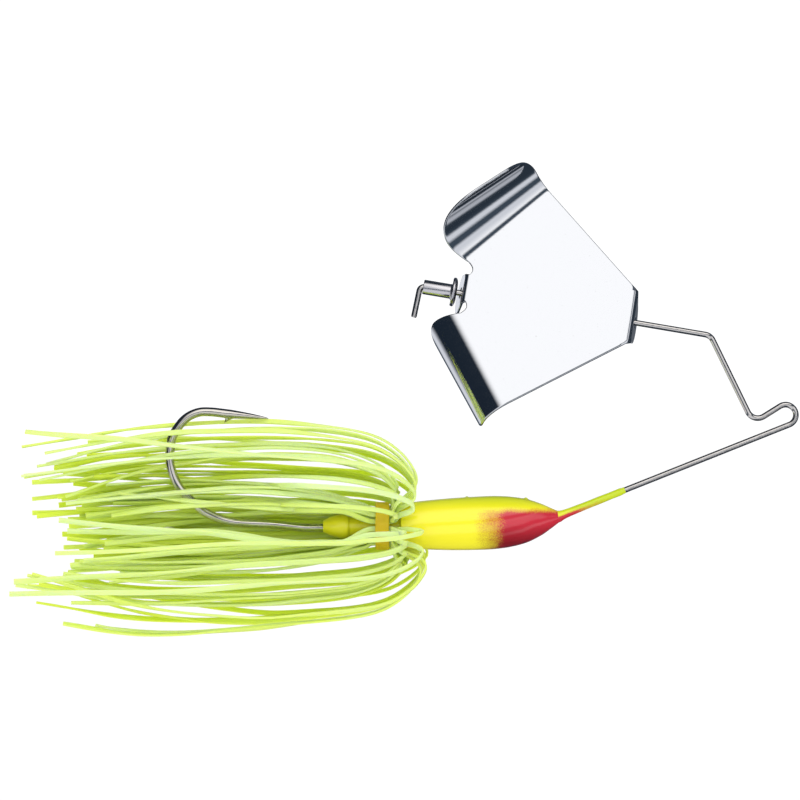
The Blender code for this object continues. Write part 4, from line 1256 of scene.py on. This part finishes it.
def add_room():
    """White all round for the eye and for soft light. Metal and gloss see a studio instead: a
    large white panel above the camera, and pale and dark walls in bands from left to right."""
    world = bpy.data.worlds.new("studio")
    bpy.context.scene.world = world
    world.use_nodes = True
    tree = world.node_tree
    sky = tree.nodes["Background"]
    place = tree.nodes.new("ShaderNodeTexCoord")
    place.label = "direction"
    path = tree.nodes.new("ShaderNodeLightPath")
    path.label = "is it a reflection"
    across = tree.nodes.new("ShaderNodeVectorMath")
    across.label = "towards lower right"
    spread = tree.nodes.new("ShaderNodeMapRange")
    spread.label = "left to right, 0 to 1"
    walls = tree.nodes.new("ShaderNodeValToRGB")
    walls.label = "walls in bands"
    corner_dot = tree.nodes.new("ShaderNodeVectorMath")
    corner_dot.label = "towards upper right"
    below_dot = tree.nodes.new("ShaderNodeVectorMath")
    below_dot.label = "behind and below"
    nearer = tree.nodes.new("ShaderNodeMath")
    nearer.label = "whichever is nearer"
    corner_edge = tree.nodes.new("ShaderNodeMapRange")
    corner_edge.label = "soft edge of the dark corners"
    corner = tree.nodes.new("ShaderNodeMix")
    corner.label = "dark corners over walls"
    panel_dot = tree.nodes.new("ShaderNodeVectorMath")
    panel_dot.label = "towards the panel"
    panel_edge = tree.nodes.new("ShaderNodeMapRange")
    panel_edge.label = "soft edge of the panel"
    studio = tree.nodes.new("ShaderNodeMix")
    studio.label = "panel over walls"
    slit = tree.nodes.new("ShaderNodeValToRGB")
    slit.label = "dark slit between panel and walls"
    slit_tone = tree.nodes.new("ShaderNodeMix")
    slit_tone.label = "slit over panel"
    seen = tree.nodes.new("ShaderNodeMix")
    seen.label = "studio in reflections only"
    spread_nodes([place], [across, panel_dot, corner_dot, below_dot, path],
                 [spread, panel_edge, nearer], [walls, slit, corner_edge], [corner], [studio],
                 [slit_tone], [seen])

    for towards in (across, panel_dot, corner_dot, below_dot):
        towards.operation = "DOT_PRODUCT"
    below_dot.inputs[1].default_value = (0.35, 0.45, -0.82)
    nearer.operation = "MAXIMUM"
    corner_dot.inputs[1].default_value = (0.76, 0.46, 0.46)
    corner_edge.interpolation_type = "SMOOTHSTEP"
    corner_edge.inputs["From Min"].default_value = 0.42
    corner_edge.inputs["From Max"].default_value = 0.66
    across.inputs[1].default_value = (0.69, 0.0, -0.72)
    panel_dot.inputs[1].default_value = (0.107, -0.767, 0.634)
    spread.inputs["From Min"].default_value = -1.0
    panel_edge.interpolation_type = "SMOOTHSTEP"
    panel_edge.inputs["From Min"].default_value = math.cos(math.radians(40.0))
    panel_edge.inputs["From Max"].default_value = math.cos(math.radians(7.0))
    dark, slate = (0.016, 0.026, 0.042), (0.066, 0.092, 0.126)
    pale, white = (0.93, 0.96, 1.03), (1.53, 1.535, 1.55)
    bands = [(0.0, dark), (0.26, dark), (0.33, pale), (0.70, pale), (0.75, slate), (0.83, slate),
             (0.88, pale), (0.92, pale), (0.95, slate), (0.985, slate), (1.0, pale)]
    clear, full = (0.0, 0.0, 0.0), (1.0, 1.0, 1.0)
    slit_bands = [(0.385, clear), (0.42, full), (0.475, full), (0.52, clear)]
    for ramp, stops in ((walls.color_ramp, bands), (slit.color_ramp, slit_bands)):
        while len(ramp.elements) < len(stops):
            ramp.elements.new(1.0)
        for stop, (where, tone) in zip(ramp.elements, stops):
            stop.position = where
            stop.color = (*tone, 1.0)
    slit_tone.data_type = "RGBA"
    slit_tone.inputs["B"].default_value = (*slate, 1.0)
    corner.data_type = studio.data_type = seen.data_type = "RGBA"
    corner.inputs["B"].default_value = (0.032, 0.046, 0.066, 1.0)
    studio.inputs["B"].default_value = (*white, 1.0)
    seen.inputs["A"].default_value = (1.09, 1.09, 1.09, 1.0)

    link = tree.links.new
    for towards in (across, panel_dot, corner_dot, below_dot):
        link(place.outputs["Generated"], towards.inputs[0])
    link(across.outputs["Value"], spread.inputs["Value"])
    link(spread.outputs["Result"], walls.inputs["Fac"])
    link(panel_dot.outputs["Value"], panel_edge.inputs["Value"])
    link(panel_edge.outputs["Result"], studio.inputs["Factor"])
    link(corner_dot.outputs["Value"], nearer.inputs[0])
    link(below_dot.outputs["Value"], nearer.inputs[1])
    link(nearer.outputs["Value"], corner_edge.inputs["Value"])
    link(corner_edge.outputs["Result"], corner.inputs["Factor"])
    link(walls.outputs["Color"], corner.inputs["A"])
    link(corner.outputs["Result"], studio.inputs["A"])
    link(path.outputs["Is Glossy Ray"], seen.inputs["Factor"])
    link(spread.outputs["Result"], slit.inputs["Fac"])
    link(slit.outputs["Color"], slit_tone.inputs["Factor"])
    link(studio.outputs["Result"], slit_tone.inputs["A"])
    link(slit_tone.outputs["Result"], seen.inputs["B"])
    link(seen.outputs["Result"], sky.inputs["Color"])


def add_light(name, place, aim, size, power):
    """A square soft light that metal doesn't mirror."""
    light = bpy.data.lights.new(name, "AREA")
    light.size = size
    light.energy = power
    lamp = bpy.data.objects.new(name, light)
    bpy.context.collection.objects.link(lamp)
    lamp.location = place
    heading = np.array(aim) - np.array(place)
    lamp.rotation_euler = (math.atan2(math.hypot(heading[0], heading[1]), -heading[2]), 0.0,
                           math.atan2(-heading[0], heading[1]))
    lamp.visible_glossy = False


def add_camera():
    """A long lens level with the lure, square on to its show side."""
    lens = bpy.data.cameras.new("camera")
    lens.lens = 300.0
    wide = 0.128
    camera = bpy.data.objects.new("camera", lens)
    bpy.context.collection.objects.link(camera)
    camera.location = (-0.06168, -wide * lens.lens / lens.sensor_width, 0.0024)
    camera.rotation_euler = (math.radians(90.0), 0.0, 0.0)
    lens.clip_start = 0.05
    bpy.context.scene.camera = camera


add_camera()
add_floor()
add_room()
add_light("key", (0.10, -0.75, 0.62), (-0.06, 0.0, 0.0), 0.6, 2.2)
add_light("fill", (-0.7, -0.6, -0.1), (-0.06, 0.0, -0.01), 0.6, 0.5)
bpy.context.scene.view_settings.view_transform = "Standard"

steel = metal_finish("spring_steel", (0.60, 0.57, 0.54), (0.20, 0.17, 0.15), 0.11, 0.05,
                     6.0, (9.0, 0.25, 1.0), 0.006)
nickel = metal_finish("hook_nickel", (0.62, 0.58, 0.52), (0.22, 0.19, 0.15), 0.10, 0.05,
                      5.0, (8.0, 0.20, 1.0), 0.006)
plated = metal_finish("blade_nickel", (0.62, 0.625, 0.64), (0.54, 0.54, 0.55), 0.075, 0.04,
                      1.0, (0.25, 2.2, 1.0), 0.004)
turned = metal_finish("rivet_nickel", (0.62, 0.60, 0.61), (0.30, 0.27, 0.25), 0.18, 0.06,
                      8.0, (1.0, 12.0, 1.0), 0.006)
paint = sprayed_paint("head_paint", -47.6, 3.6, -16.41, 0.80, -0.03, -15.0)
arm_coat = sprayed_paint("arm_coat", -31.0, -5.0, -1.68, 0.22, 0.401, -16.8)
rubber = rubber_finish("band_rubber", (0.74, 0.54, 0.006), (0.52, 0.35, 0.003), 0.42, 0.35, 0.8,
                       (60.0, 20.0, 1.0), 0.03)
# skirt: the light colour is a paler, bluer green standing for sheen on lit strands, a painted
# highlight; the deep colour is the saturated green
silicone = rubber_finish("skirt_silicone", (0.63, 0.81, 0.42), (0.63, 0.77, 0.065), 0.36, 0.60,
                         1.0, (6.0, 0.5, 1.0), 0.02)

add_wire(steel)
add_arm_paint(arm_coat)
add_head(paint)
add_hook(nickel)
add_band(rubber)
add_skirt(silicone)
add_blade(plated)
add_rivet(turned)
